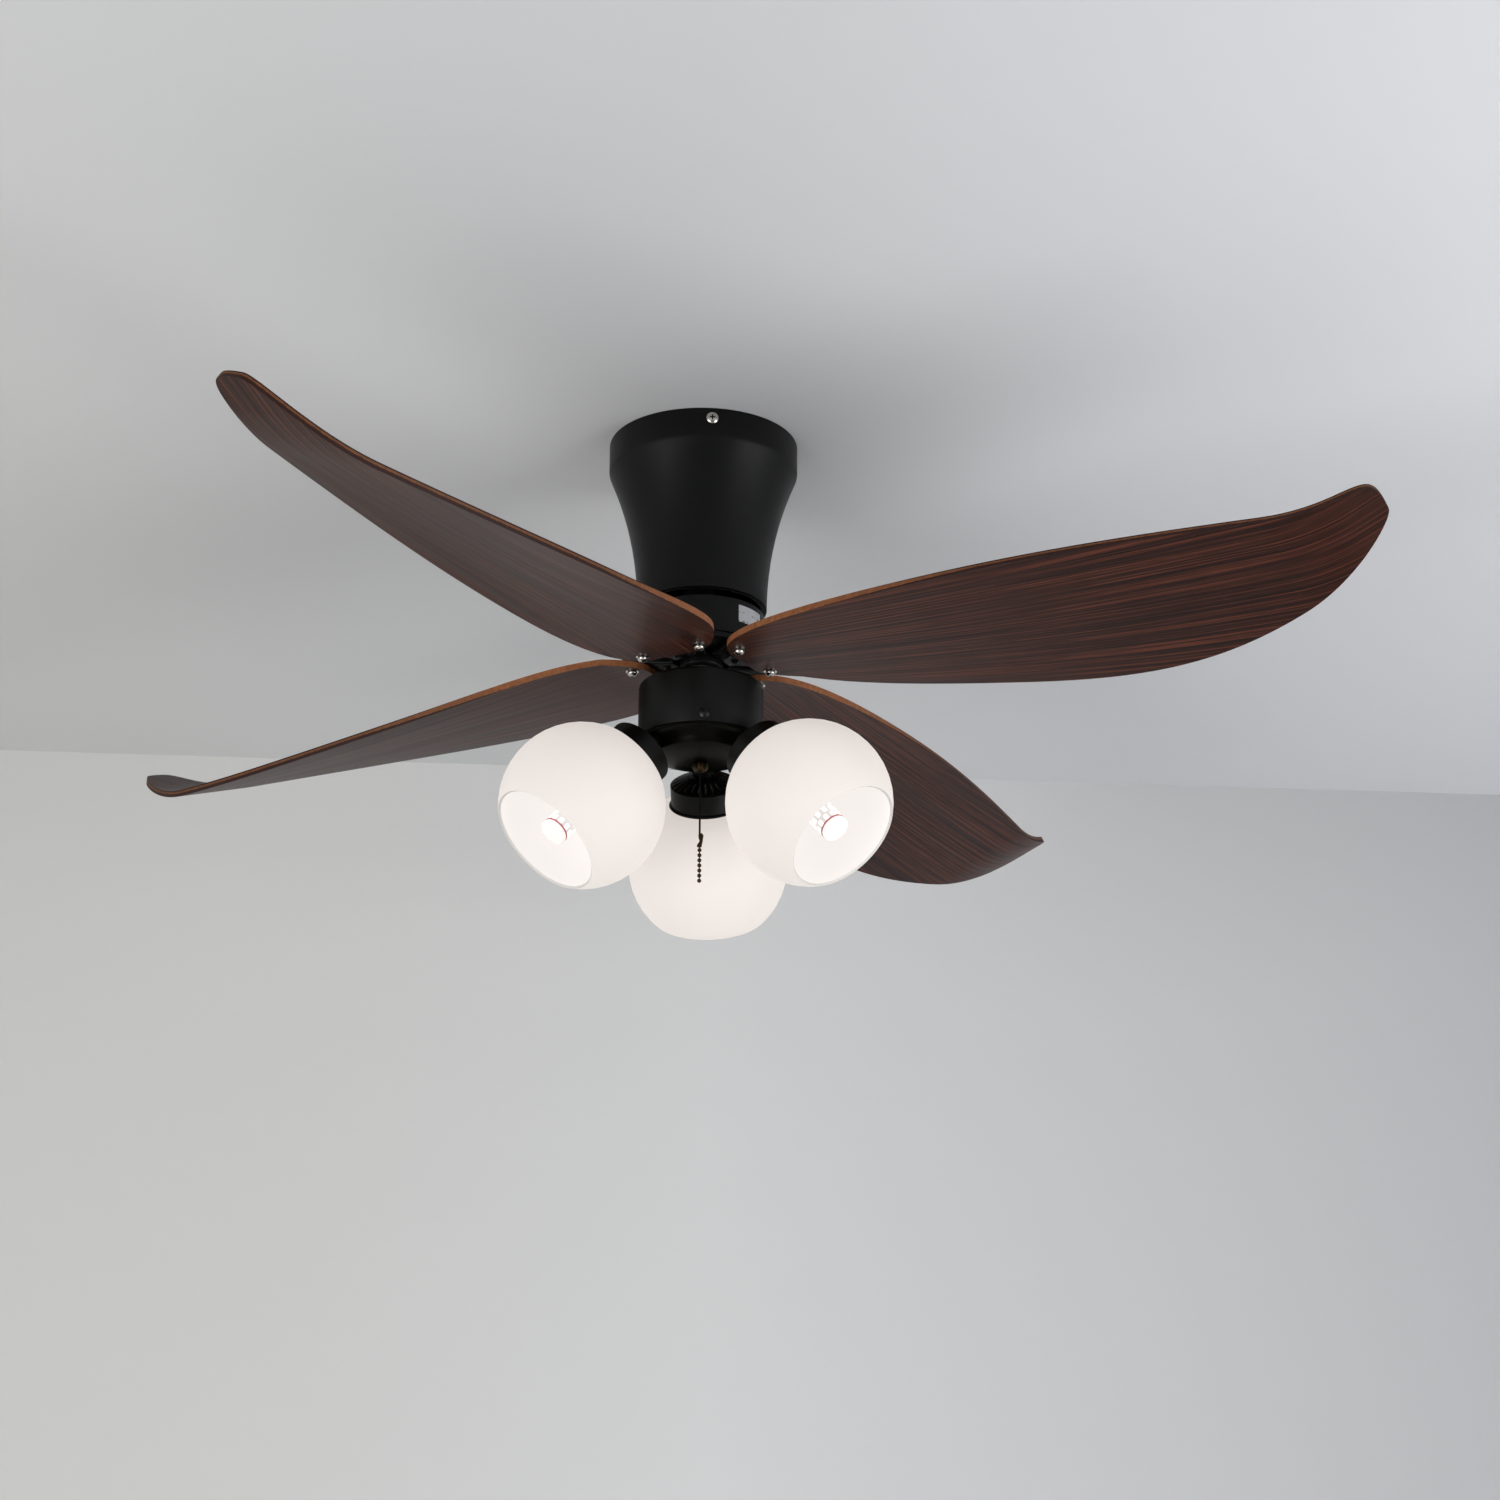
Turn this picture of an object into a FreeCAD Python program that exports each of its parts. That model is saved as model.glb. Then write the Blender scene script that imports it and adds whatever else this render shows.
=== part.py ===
import FreeCAD, Part
import math
import os
import re
import Sketcher

# Flush ceiling fan with three glass-shaded lamps and four twisted wooden blades.
# Frame: origin on the fan's axis at the ceiling, +Z up, millimetres and degrees.
# Blade local axes: X along the blade, Y towards its round edge (counter-clockwise seen from above).
# Lamp local axes: Z along the lamp's axis towards the light pan, origin at the globe's centre.

doc = FreeCAD.newDocument("CeilingFan")
sheet = doc.addObject("Spreadsheet::Sheet", "Sizes")

SIZES = {
    # clearances
    "fixed_fit": 0.05,            # radial, between pieces that are pushed or screwed together
    "running_fit": 0.05,          # radial, bearing on shaft
    "loose_fit": 0.3,             # radial, screw in a clearance hole
    "hub_gap": 0.6,               # between what turns and what stands still
    # ceiling plate with its welded collar
    "plate_thickness": 2.5,
    "plate_rim_depth": 18,
    "box_screw_spacing": 90,
    "box_slot_width": 5.5,
    "box_slot_length": 14,
    "wire_hole_radius": 9,
    "wire_hole_offset": 34,
    "collar_length": 26,
    "collar_wall": 4.5,
    # canopy
    "canopy_radius": 88,
    "canopy_wall": 1.5,
    "canopy_band": 28,
    "canopy_drop": 165,
    "rim_radius": 59.8,
    "rim_lip": 4,
    "canopy_screw_count": 3,
    "canopy_screw_angle": -84,
    "canopy_screw_drop": 10.5,
    # down rod, its two pins and the yoke that carries the motor shaft
    "rod_radius": 13.4,
    "rod_wall": 2.8,
    "pin_inset": 12,
    "yoke_length": 32,
    "yoke_floor": 10,
    "yoke_gap": 3,
    # motor
    "shaft_radius": 8,
    "shaft_bore": 5,
    "rotor_gap": 7,
    "rotor_radius": 57.5,
    "rotor_height": 34.6,
    "rotor_wall": 2,
    "rotor_top": 3,
    "rotor_chamfer": 1,
    "bearing_radius": 13,
    "bearing_width": 8,
    "bearing_lip": 1.5,
    "boss_wall": 3,
    "cover_radius": 56.5,
    "cover_height": 5.4,
    "cover_chamfer": 1.2,
    "spigot_height": 3,
    "core_radius": 43,
    "core_height": 14,
    "core_inset": 12,
    "air_gap": 0.6,
    "slot_count": 12,
    "slot_width": 6,
    "slot_start": 24,
    "slot_end": 41,
    "coil_clearance": 0.2,
    "coil_height": 4.5,
    "cage_height": 20,
    # hub and blade arms
    "hub_radius": 20,
    "hub_height": 13.4,
    "hub_chamfer": 1,
    "hub_bevel": 3,
    "arm_thickness": 6,
    "arm_inner_half": 17,
    "arm_neck": 25,
    "arm_pad_half": 37.5,
    "arm_side": 1,
    "arm_reach": 66,
    "arm_corner": 9,
    "arm_screw_reach": 31,
    "arm_screw_side": 8,
    # blades
    "blade_count": 4,
    "blade_angle": -28.8,
    "blade_thickness": 6,
    "blade_screw_edge": 10.1,
    "blade_screw_side": 29.5,
    "blade_flat_margin": 9,
    "blade_tip": 664,
    "blade_slab_start": 30,
    "blade_slab_end": 690,
    "blade_slab_half": 125,
    "blade_droop": 24.6,
    "blade_lift": 28,
    "blade_lift_start": 0.83,
    "blade_twist": 22.4,
    "blade_twist_ease": 0.884,
    "blade_stations": 7,
    # switch housing
    "neck_height": 14.5,
    "neck_radius": 20,
    "housing_radius": 57,
    "housing_wall": 1.5,
    "housing_height": 53.5,
    "housing_shoulder": 4,
    "housing_screw_angle": -86,
    "housing_screw_count": 3,
    "housing_screw_rise": 7.7,
    "nut_flat": 24,
    "nut_height": 7,
    # light pan
    "pan_rim": 14,
    "pan_wall": 1.5,
    "pan_bead_inset": 0.7,
    "pan_bead": 3.4,
    "pan_cove_radius": 51,
    "pan_cove_height": 10.5,
    "pan_cove_round": 12,
    "pan_bowl_radius": 42,
    "pan_bowl_height": 6.1,
    "bushing_radius": 7,
    "bushing_length": 8,
    "bushing_bore": 1.7,
    "switch_radius": 11,
    "switch_height": 18,
    "switch_neck": 4.8,
    # lamps
    "lamp_count": 3,
    "lamp_angle": -33,
    "lamp_lean": 42.7,
    "lamp_seat_radius": 46,
    "lamp_stand": 103.3,
    "lamp_boss_radius": 9,
    "lamp_boss_inset": 2.5,
    "nipple_radius": 5,
    "cup_top": 91.8,
    "cup_wall": 1.2,
    "cup_top_radius": 14,
    "cup_radius": 31.8,
    "cup_shoulder": 83,
    "cup_mouth": 61,
    "cup_bead_radius": 33.8,
    "cup_bead_height": 3,
    "vent_count": 24,
    "vent_width": 2.4,
    "vent_start": 17,
    "vent_end": 28.5,
    "socket_radius": 17,
    "socket_flange_radius": 25,
    "socket_flange": 79,
    "socket_flange_height": 2.5,
    "socket_skirt_radius": 19,
    "socket_mouth": 60,
    "socket_bore": 13.6,
    "socket_floor": 85,
    "ring_radius": 25,
    "ring_height": 3.3,
    "glass_wall": 2.5,
    "glass_hole": 20,
    "glass_neck": 28.5,
    "glass_neck_foot": 60,
    "globe_radius": 74.2,
    "globe_shoulder": 50,
    "globe_shoulder_round": 36,
    "globe_opening": 53.4,
    "bulb_shell_radius": 13.2,
    "bulb_collar_radius": 15,
    "bulb_collar_top": 57,
    "bulb_collar_foot": 38,
    "bulb_column_radius": 11.5,
    "bulb_column_foot": 36,
    "bulb_cap_radius": 12.2,
    "bulb_cap_height": 6,
    # pull cord, coupler and bead chain
    "cord_radius": 0.9,
    "cord_inset": 8,
    "cord_length": 75.5,
    "coupler_radius": 2.6,
    "coupler_height": 12.7,
    "bead_radius": 1.9,
    "bead_pitch": 4.8,
    "bead_count": 7,
    "bead_start": 2.8,
    "bead_link_radius": 0.5,
    # electrical boxes
    "capacitor_clearance": 3.5,
    "capacitor_width": 32,
    "capacitor_height": 30,
    "receiver_length": 62,
    "receiver_width": 22,
    "receiver_height": 44,
    "receiver_drop": 40,
}

# Pan-head screws and headed pins: head radius, head height, shank radius, shank length.
FASTENERS = {
    "canopy_screw": (5.5, 3, 2, 7),
    "rod_pin": (5, 2, 3, 42),
    "housing_screw": (4.8, 2.4, 1.8, 6),
    "arm_screw": (3.6, 2.4, 2, 10),
    "blade_screw": (5.2, 3.2, 2.4, 12),
}
for kind, values in FASTENERS.items():
    for part, value in zip(("head", "height", "shank", "length"), values):
        SIZES[f"{kind}_{part}"] = value
SIZES["washer_radius"] = 6
SIZES["washer_height"] = 0.8

# Leaf outline of a blade: control points of its round edge and of its straight edge.
LEAF = {
    "leaf_root": 43.8,
    "leaf_root_half": 22,
    "leaf_root_round": 34,
    "leaf_tip": 659.6,
    "leaf_tip_side": -24.4,
    "leaf_tip_round": 16.6,
    "leaf_belly_near": (88, 78),
    "leaf_belly_middle": (255, 83.4),
    "leaf_belly_far": (481.8, 93.6),
    "leaf_back_far": (643, -57.6),
    "leaf_back_middle": (435, -81.3),
    "leaf_back_near": (222, -88.8),
}
for name, value in LEAF.items():
    if isinstance(value, tuple):
        SIZES[f"{name}_out"] = value[0]
        SIZES[f"{name}_side"] = value[1]
    else:
        SIZES[name] = value

for row, (name, value) in enumerate(SIZES.items(), start=1):
    sheet.set(f"A{row}", name)
    sheet.set(f"B{row}", str(value))
    sheet.setAlias(f"B{row}", name)
doc.recompute()

# Levels of the centre stack, each a distance below the ceiling.
YOKE_FOOT = "canopy_drop - yoke_gap"
ROTOR_TOP = "canopy_drop + rotor_gap"
ROTOR_SEAM = f"{ROTOR_TOP} + rotor_height"
SPIGOT_TOP = f"{ROTOR_SEAM} - spigot_height"
COVER_FOOT = f"{ROTOR_SEAM} + cover_height"
ARM_FOOT = f"{COVER_FOOT} + arm_thickness"
BLADE_TOP = f"{ARM_FOOT} + fixed_fit"
BLADE_FOOT = f"{BLADE_TOP} + blade_thickness"
WASHER_TOP = f"{BLADE_FOOT} + fixed_fit"
HUB_FOOT = f"{COVER_FOOT} + hub_height"
NECK_TOP = f"{HUB_FOOT} + hub_gap"
HOUSING_TOP = f"{NECK_TOP} + neck_height"
HOUSING_FOOT = f"{HOUSING_TOP} + housing_height"
BEAD_FOOT = f"{HOUSING_FOOT} + pan_bead"
COVE_FOOT = f"{BEAD_FOOT} + pan_cove_height"
PAN_FOOT = f"{COVE_FOOT} + pan_bowl_height"
BUSHING_FOOT = f"{PAN_FOOT} + bushing_length"
CORD_TOP = f"{PAN_FOOT} - cord_inset"
CORD_FOOT = f"{CORD_TOP} + cord_length"
CORE_TOP = f"{ROTOR_TOP} + core_inset"
CORE_FOOT = f"{CORE_TOP} + core_height"

pieces = []


def bound(text):
    """The expression with each size name pointing at its cell in the sheet."""
    return re.sub(r"\b[a-z]+(?:_[a-z]+)+\b", r"Sizes.\g<0>", text)


def number(text):
    """The present value of an expression of size names."""
    return float(sheet.evalExpression(bound(text)))


def below(level):
    """The height of a level that is given as a distance below the ceiling."""
    return f"-({level})"


def new_body(label, placement=None):
    """A body that becomes one node; its placement is an expression."""
    body = doc.addObject("PartDesign::Body", label)
    body.Label = label
    body.AllowCompound = True
    if placement:
        body.setExpression("Placement", bound(placement))
    pieces.append(body)
    return body


def origin_feature(body, role):
    return [item for item in body.Origin.OriginFeatures if item.Role == role][0]


def sketch_on(body, role, offset=None):
    """A sketch on one of the body's own origin planes, moved by an expression."""
    sketch = body.newObject("Sketcher::SketchObject", f"{body.Label}_sketch")
    sketch.AttachmentSupport = [(origin_feature(body, role), "")]
    sketch.MapMode = "FlatFace"
    if offset:
        sketch.setExpression("AttachmentOffset", bound(offset))
    return sketch


def tie(sketch, kind, geometry, point, text):
    """Ties one coordinate of a point to the sheet."""
    constraint = Sketcher.Constraint(kind, -1, 1, geometry, point, number(text))
    index = sketch.addConstraint(constraint)
    sketch.setExpression(f"Constraints[{index}]", bound(text))


def arc_between(start, end, radius, side):
    """The short arc from start to end that bulges to the given side of its chord."""
    chord = end - start
    half = chord.Length / 2
    rise = radius - math.sqrt(max(radius * radius - half * half, 0))
    left = FreeCAD.Vector(-chord.y, chord.x, 0).normalize()
    middle = (start + end) / 2 + left * (rise if side == "left" else -rise)
    return Part.Arc(start, middle, end)


def outline(sketch, corners):
    """A closed outline: each corner is (x, y) or (x, y, radius, side) where an arc leaves it."""
    places = [FreeCAD.Vector(number(corner[0]), number(corner[1]), 0) for corner in corners]
    ends = []
    for index, corner in enumerate(corners):
        start = places[index]
        end = places[(index + 1) % len(places)]
        if len(corner) == 4:
            edge = arc_between(start, end, number(corner[2]), corner[3])
        else:
            edge = Part.LineSegment(start, end)
        geometry = sketch.addGeometry(edge, False)
        first = 1 if sketch.getPoint(geometry, 1).distanceToPoint(start) < 1e-6 else 2
        ends.append((geometry, first, 3 - first))
    for index, (geometry, first, last) in enumerate(ends):
        following = ends[(index + 1) % len(ends)]
        sketch.addConstraint(
            Sketcher.Constraint("Coincident", geometry, last, following[0], following[1]))
        corner = corners[index]
        tie(sketch, "DistanceX", geometry, first, corner[0])
        tie(sketch, "DistanceY", geometry, first, corner[1])
        if len(corner) == 4:
            radius = sketch.addConstraint(
                Sketcher.Constraint("Radius", geometry, number(corner[2])))
            sketch.setExpression(f"Constraints[{radius}]", bound(corner[2]))


def spun(body, corners, offset=None, cut=False):
    """Turns an outline of (radius, height) corners about its own upright axis."""
    sketch = sketch_on(body, "XZ_Plane", offset)
    outline(sketch, corners)
    kind = "PartDesign::Groove" if cut else "PartDesign::Revolution"
    feature = body.newObject(kind, f"{body.Label}_turn")
    feature.Profile = (sketch, [""])
    feature.ReferenceAxis = (sketch, ["V_Axis"])
    feature.Angle = 360
    return feature


def turned(label, corners, placement=None):
    """A node that is one turned piece."""
    body = new_body(label, placement)
    spun(body, corners)
    return body


def padded(body, corners, offset, depth, cut=False):
    """Pads an outline upwards from the body's XY plane, or cuts it."""
    sketch = sketch_on(body, "XY_Plane", offset)
    outline(sketch, corners)
    feature = body.newObject("PartDesign::Pocket" if cut else "PartDesign::Pad", f"{body.Label}_pad")
    feature.Profile = (sketch, [""])
    feature.setExpression("Length", bound(depth))
    if cut:
        feature.Reversed = True
    return feature


def primitive(body, kind, placement, **sizes):
    """An additive or subtractive box or cylinder whose sizes are expressions."""
    feature = body.newObject(f"PartDesign::{kind}", f"{body.Label}_{kind.lower()}")
    for name, text in sizes.items():
        feature.setExpression(name, bound(text))
    feature.setExpression("Placement", bound(placement))
    return feature


def around(body, features, count):
    """Repeats features evenly about the body's Z axis."""
    pattern = body.newObject("PartDesign::PolarPattern", f"{body.Label}_pattern")
    pattern.Originals = features
    pattern.Axis = (origin_feature(body, "Z_Axis"), [""])
    pattern.Angle = 360
    pattern.setExpression("Occurrences", bound(count))
    body.Tip = pattern
    return pattern


def at(x, y, z, turn=None):
    """A placement expression; turn is a rotation expression."""
    rotation = turn or "rotation(vector(0; 0; 1); 0)"
    return f"placement(vector({x}; {y}; {z}); {rotation})"


def swung(angle):
    """A placement turned about the fan's axis."""
    return at("0", "0", "0", f"rotation(vector(0; 0; 1); {angle})")


ALONG_X = "rotation(vector(0; 1; 0); 90)"


def facing(angle, reach, height):
    """A placement whose Z axis points outwards from the fan's axis, in the direction of an angle."""
    return (f"placement(vector(({reach}) * cos({angle}); ({reach}) * sin({angle}); {height});"
            f" rotation(vector(0; 0; 1); {angle}) * {ALONG_X})")


def headed(body, kind, x, y, z, turn):
    """A pan-head screw or pin: its head points along the sketch's upright, turned by an angle."""
    dome = f"0.65 * {kind}_height"
    corners = [
        ("0", f"-{kind}_length"),
        (f"{kind}_shank", f"-{kind}_length"),
        (f"{kind}_shank", "0"),
        (f"{kind}_head", "0"),
        (f"{kind}_head", f"{kind}_height - {dome}",
         f"({kind}_head^2 + ({dome})^2) / (2 * {dome})", "right"),
        ("0", f"{kind}_height"),
    ]
    return spun(body, corners, at(x, z, y, f"rotation(vector(0; 0; 1); {turn})"))


# --- ceiling plate: a pressed dish screwed to the ceiling box, with a collar for the rod ---
plate_radius = "canopy_radius - canopy_wall - loose_fit"
collar_bore = "rod_radius + fixed_fit"
collar_radius = "rod_radius + fixed_fit + collar_wall"
plate = turned("ceiling_plate", [
    ("0", "0"),
    (plate_radius, "0"),
    (plate_radius, "-plate_rim_depth"),
    (f"{plate_radius} - plate_thickness", "-plate_rim_depth"),
    (f"{plate_radius} - plate_thickness", "-plate_thickness"),
    (collar_radius, "-plate_thickness"),
    (collar_radius, "-collar_length"),
    (collar_bore, "-collar_length"),
    (collar_bore, "-plate_thickness"),
    ("0", "-plate_thickness"),
])
slot_side = at("(box_screw_spacing - box_slot_length + box_slot_width) / 2",
               "-box_slot_width / 2", "-2 * plate_thickness")
slot_parts = [primitive(plate, "SubtractiveBox", slot_side, Width="box_slot_width",
                        Length="box_slot_length - box_slot_width", Height="3 * plate_thickness")]
for sign in ("-", "+"):
    end = f"(box_screw_spacing {sign} (box_slot_length - box_slot_width)) / 2"
    slot_parts.append(primitive(plate, "SubtractiveCylinder", at(end, "0", "-2 * plate_thickness"),
                                Radius="box_slot_width / 2", Height="3 * plate_thickness"))
around(plate, slot_parts, "2")
thread = primitive(plate, "SubtractiveCylinder",
                   facing("canopy_screw_angle", "canopy_radius - 4 * plate_thickness",
                          "-canopy_screw_drop"),
                   Radius="canopy_screw_shank + fixed_fit", Height="4 * plate_thickness")
around(plate, [thread], "canopy_screw_count")
primitive(plate, "SubtractiveCylinder", facing("canopy_screw_angle", "-2 * rod_radius", "-pin_inset"),
          Radius="rod_pin_shank + fixed_fit", Height="4 * rod_radius")
primitive(plate, "SubtractiveCylinder", at("0", "wire_hole_offset", "-2 * plate_thickness"),
          Radius="wire_hole_radius", Height="3 * plate_thickness")

# --- canopy: a spun steel shell, straight at the ceiling and hollow-curved down to its rim ---
flare = ("((canopy_radius - rim_radius)^2 + (canopy_drop - canopy_band)^2)"
         " / (2 * (canopy_radius - rim_radius))")
canopy = turned("canopy", [
    ("canopy_radius", "0"),
    ("canopy_radius", "-canopy_band", flare, "right"),
    ("rim_radius", "-canopy_drop"),
    ("rim_radius - canopy_wall - rim_lip", "-canopy_drop"),
    ("rim_radius - canopy_wall - rim_lip", "canopy_wall - canopy_drop"),
    ("rim_radius - canopy_wall", "canopy_wall - canopy_drop", flare, "left"),
    ("canopy_radius - canopy_wall", "-canopy_band"),
    ("canopy_radius - canopy_wall", "0"),
], swung("canopy_screw_angle"))
screw_hole = primitive(canopy, "SubtractiveCylinder",
                       at("canopy_radius - 3 * canopy_wall", "0", "-canopy_screw_drop", ALONG_X),
                       Radius="canopy_screw_shank + loose_fit", Height="6 * canopy_wall")
around(canopy, [screw_hole], "canopy_screw_count")
canopy_screws = new_body("canopy_screws", swung("canopy_screw_angle"))
one = headed(canopy_screws, "canopy_screw", "canopy_radius", "0", "-canopy_screw_drop", "-90")
around(canopy_screws, [one], "canopy_screw_count")

# --- down rod, its pins and the yoke ---
rod_foot = f"{YOKE_FOOT} - yoke_floor"
rod = turned("down_rod", [
    ("rod_radius - rod_wall", "-plate_thickness"),
    ("rod_radius", "-plate_thickness"),
    ("rod_radius", below(rod_foot)),
    ("rod_radius - rod_wall", below(rod_foot)),
], swung("canopy_screw_angle"))
lower_pin = f"{YOKE_FOOT} - yoke_length + pin_inset"
yoke = turned("motor_yoke", [
    ("shaft_radius + fixed_fit", below(YOKE_FOOT)),
    (collar_radius, below(YOKE_FOOT)),
    (collar_radius, below(f"{YOKE_FOOT} - yoke_length")),
    (collar_bore, below(f"{YOKE_FOOT} - yoke_length")),
    (collar_bore, below(rod_foot)),
    ("shaft_radius + fixed_fit", below(rod_foot)),
], swung("canopy_screw_angle"))
rod_pins = new_body("rod_pins", swung("canopy_screw_angle"))
for drop in ("pin_inset", lower_pin):
    headed(rod_pins, "rod_pin", collar_radius, "0", below(drop), "-90")
    primitive(rod, "SubtractiveCylinder", at("-2 * rod_radius", "0", below(drop), ALONG_X),
              Radius="rod_pin_shank + fixed_fit", Height="4 * rod_radius")
primitive(yoke, "SubtractiveCylinder", at("-2 * rod_radius", "0", below(lower_pin), ALONG_X),
          Radius="rod_pin_shank + fixed_fit", Height="4 * rod_radius")

# --- motor: the shaft and wound core stand still, the shell turns about them on two bearings ---
shaft_foot = f"{HOUSING_TOP} + housing_wall + nut_height + hub_gap"
turned("motor_shaft", [
    ("shaft_bore", below(rod_foot)),
    ("shaft_radius", below(rod_foot)),
    ("shaft_radius", below(shaft_foot)),
    ("shaft_bore", below(shaft_foot)),
])
core = turned("stator_core", [
    ("shaft_radius + fixed_fit", below(CORE_TOP)),
    ("core_radius", below(CORE_TOP)),
    ("core_radius", below(CORE_FOOT)),
    ("shaft_radius + fixed_fit", below(CORE_FOOT)),
])
slot = primitive(core, "SubtractiveBox",
                 at("slot_start", "-slot_width / 2", below(f"{CORE_FOOT} + core_height")),
                 Length="slot_end - slot_start", Width="slot_width", Height="3 * core_height")
around(core, [slot], "slot_count")

coils = new_body("stator_windings")
coil_round = "slot_end - slot_start"
for level, rise, bulge in ((CORE_TOP, "-", "left"), (CORE_FOOT, "+", "right")):
    spun(coils, [
        ("slot_start + coil_clearance", below(level)),
        ("slot_start + coil_clearance", below(f"({level} {rise} coil_height / 2)"), coil_round, bulge),
        ("slot_end - coil_clearance", below(f"({level} {rise} coil_height / 2)")),
        ("slot_end - coil_clearance", below(level)),
    ])
bar = primitive(coils, "AdditiveBox",
                at("slot_start + coil_clearance", "coil_clearance - slot_width / 2", below(CORE_FOOT)),
                Length="slot_end - slot_start - 2 * coil_clearance",
                Width="slot_width - 2 * coil_clearance", Height="core_height")
around(coils, [bar], "slot_count")

boss_bore = "bearing_radius + fixed_fit"
boss_radius = f"{boss_bore} + boss_wall"
lip_radius = "bearing_radius - bearing_lip"
boss_foot = f"{ROTOR_TOP} + bearing_lip + bearing_width"
shell_bore = "rotor_radius - rotor_wall"
turned("rotor_shell", [
    (lip_radius, below(ROTOR_TOP)),
    ("rotor_radius - rotor_chamfer", below(ROTOR_TOP)),
    ("rotor_radius", below(f"{ROTOR_TOP} + rotor_chamfer")),
    ("rotor_radius", below(ROTOR_SEAM)),
    (shell_bore, below(ROTOR_SEAM)),
    (shell_bore, below(f"{ROTOR_TOP} + rotor_top")),
    (boss_radius, below(f"{ROTOR_TOP} + rotor_top")),
    (boss_radius, below(boss_foot)),
    (boss_bore, below(boss_foot)),
    (boss_bore, below(f"{ROTOR_TOP} + bearing_lip")),
    (lip_radius, below(f"{ROTOR_TOP} + bearing_lip")),
])
turned("rotor_cage", [
    ("core_radius + air_gap", below(f"{SPIGOT_TOP} - cage_height")),
    (f"{shell_bore} - fixed_fit", below(f"{SPIGOT_TOP} - cage_height")),
    (f"{shell_bore} - fixed_fit", below(SPIGOT_TOP)),
    ("core_radius + air_gap", below(SPIGOT_TOP)),
])
lower_boss_top = f"{COVER_FOOT} - bearing_lip - bearing_width"
cover = turned("bottom_cover", [
    (lip_radius, below(COVER_FOOT)),
    ("cover_radius - cover_chamfer", below(COVER_FOOT)),
    ("cover_radius", below(f"{COVER_FOOT} - cover_chamfer")),
    ("cover_radius", below(ROTOR_SEAM)),
    (f"{shell_bore} - fixed_fit", below(ROTOR_SEAM)),
    (f"{shell_bore} - fixed_fit", below(SPIGOT_TOP)),
    (boss_radius, below(SPIGOT_TOP)),
    (boss_radius, below(lower_boss_top)),
    (boss_bore, below(lower_boss_top)),
    (boss_bore, below(f"{COVER_FOOT} - bearing_lip")),
    (lip_radius, below(f"{COVER_FOOT} - bearing_lip")),
], swung("blade_angle"))
thread_foot = f"{COVER_FOOT} + spigot_height"
thread_depth = "spigot_height + arm_screw_length - arm_thickness + fixed_fit"
cover_holes = [primitive(cover, "SubtractiveCylinder",
                         at("arm_screw_reach", f"{sign}arm_screw_side", below(thread_foot)),
                         Radius="arm_screw_shank + fixed_fit", Height=thread_depth)
               for sign in ("-", "")]
around(cover, cover_holes, "blade_count")

bearings = new_body("bearings")
for top in (f"{ROTOR_TOP} + bearing_lip", lower_boss_top):
    spun(bearings, [
        ("shaft_radius + running_fit", below(top)),
        ("bearing_radius", below(top)),
        ("bearing_radius", below(f"{top} + bearing_width")),
        ("shaft_radius + running_fit", below(f"{top} + bearing_width")),
    ])

# --- blade hub and four cast arms ---
turned("blade_hub", [
    ("shaft_radius + hub_gap", below(COVER_FOOT)),
    ("hub_radius", below(COVER_FOOT)),
    ("hub_radius", below(f"{HUB_FOOT} - hub_bevel")),
    ("hub_radius - hub_bevel", below(HUB_FOOT)),
    ("shaft_radius + hub_gap", below(HUB_FOOT)),
])


def blade_place(index):
    return swung(f"blade_angle + {index} * 360 / blade_count")


pad_start = "arm_reach - arm_corner - arm_side"
blade_screw_reach = "arm_reach - blade_screw_edge"


def blade_arm(index):
    """A flat cast pad over the blade's root, drawn in beside the hub."""
    arm = new_body(f"blade_arm_{index + 1}", blade_place(index))
    inner = "hub_radius + loose_fit"
    half = [
        (inner, "arm_inner_half"),
        ("arm_neck", "arm_inner_half"),
        (pad_start, "arm_pad_half"),
        ("arm_reach - arm_corner", "arm_pad_half", "arm_corner", "right"),
        ("arm_reach", "arm_pad_half - arm_corner"),
    ]
    mirrored = [
        ("arm_reach", "arm_corner - arm_pad_half", "arm_corner", "right"),
        ("arm_reach - arm_corner", "-arm_pad_half"),
        (pad_start, "-arm_pad_half"),
        ("arm_neck", "-arm_inner_half"),
        (inner, "-arm_inner_half"),
    ]
    padded(arm, half + mirrored, at("0", "0", below(ARM_FOOT)), "arm_thickness")
    drill_foot = below(f"{ARM_FOOT} + arm_thickness")
    for sign in ("-", ""):
        blade_hole = at(blade_screw_reach, f"{sign}blade_screw_side", drill_foot)
        hub_hole = at("arm_screw_reach", f"{sign}arm_screw_side", drill_foot)
        primitive(arm, "SubtractiveCylinder", blade_hole,
                  Radius="blade_screw_shank + fixed_fit", Height="3 * arm_thickness")
        primitive(arm, "SubtractiveCylinder", hub_hole,
                  Radius="arm_screw_shank + fixed_fit", Height="3 * arm_thickness")


flat_end = "(arm_reach + blade_flat_margin)"


# --- blades: a moulded sheet that twists along its length, trimmed to a leaf outline ---
def blade_section(body, reach, height, pitch):
    """A slab's cross-section at one station, turned by its pitch about the blade's axis."""
    sketch = sketch_on(body, "YZ_Plane", at("0", "0", reach))
    corners = []
    for across, up in (("-", "-"), ("", "-"), ("", ""), ("-", "")):
        side = f"({across}blade_slab_half)"
        rise = f"({up}blade_thickness / 2)"
        corners.append((f"{side} * cos({pitch}) + {rise} * sin({pitch})",
                        f"{height} - {side} * sin({pitch}) + {rise} * cos({pitch})"))
    outline(sketch, corners)
    return sketch


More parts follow.
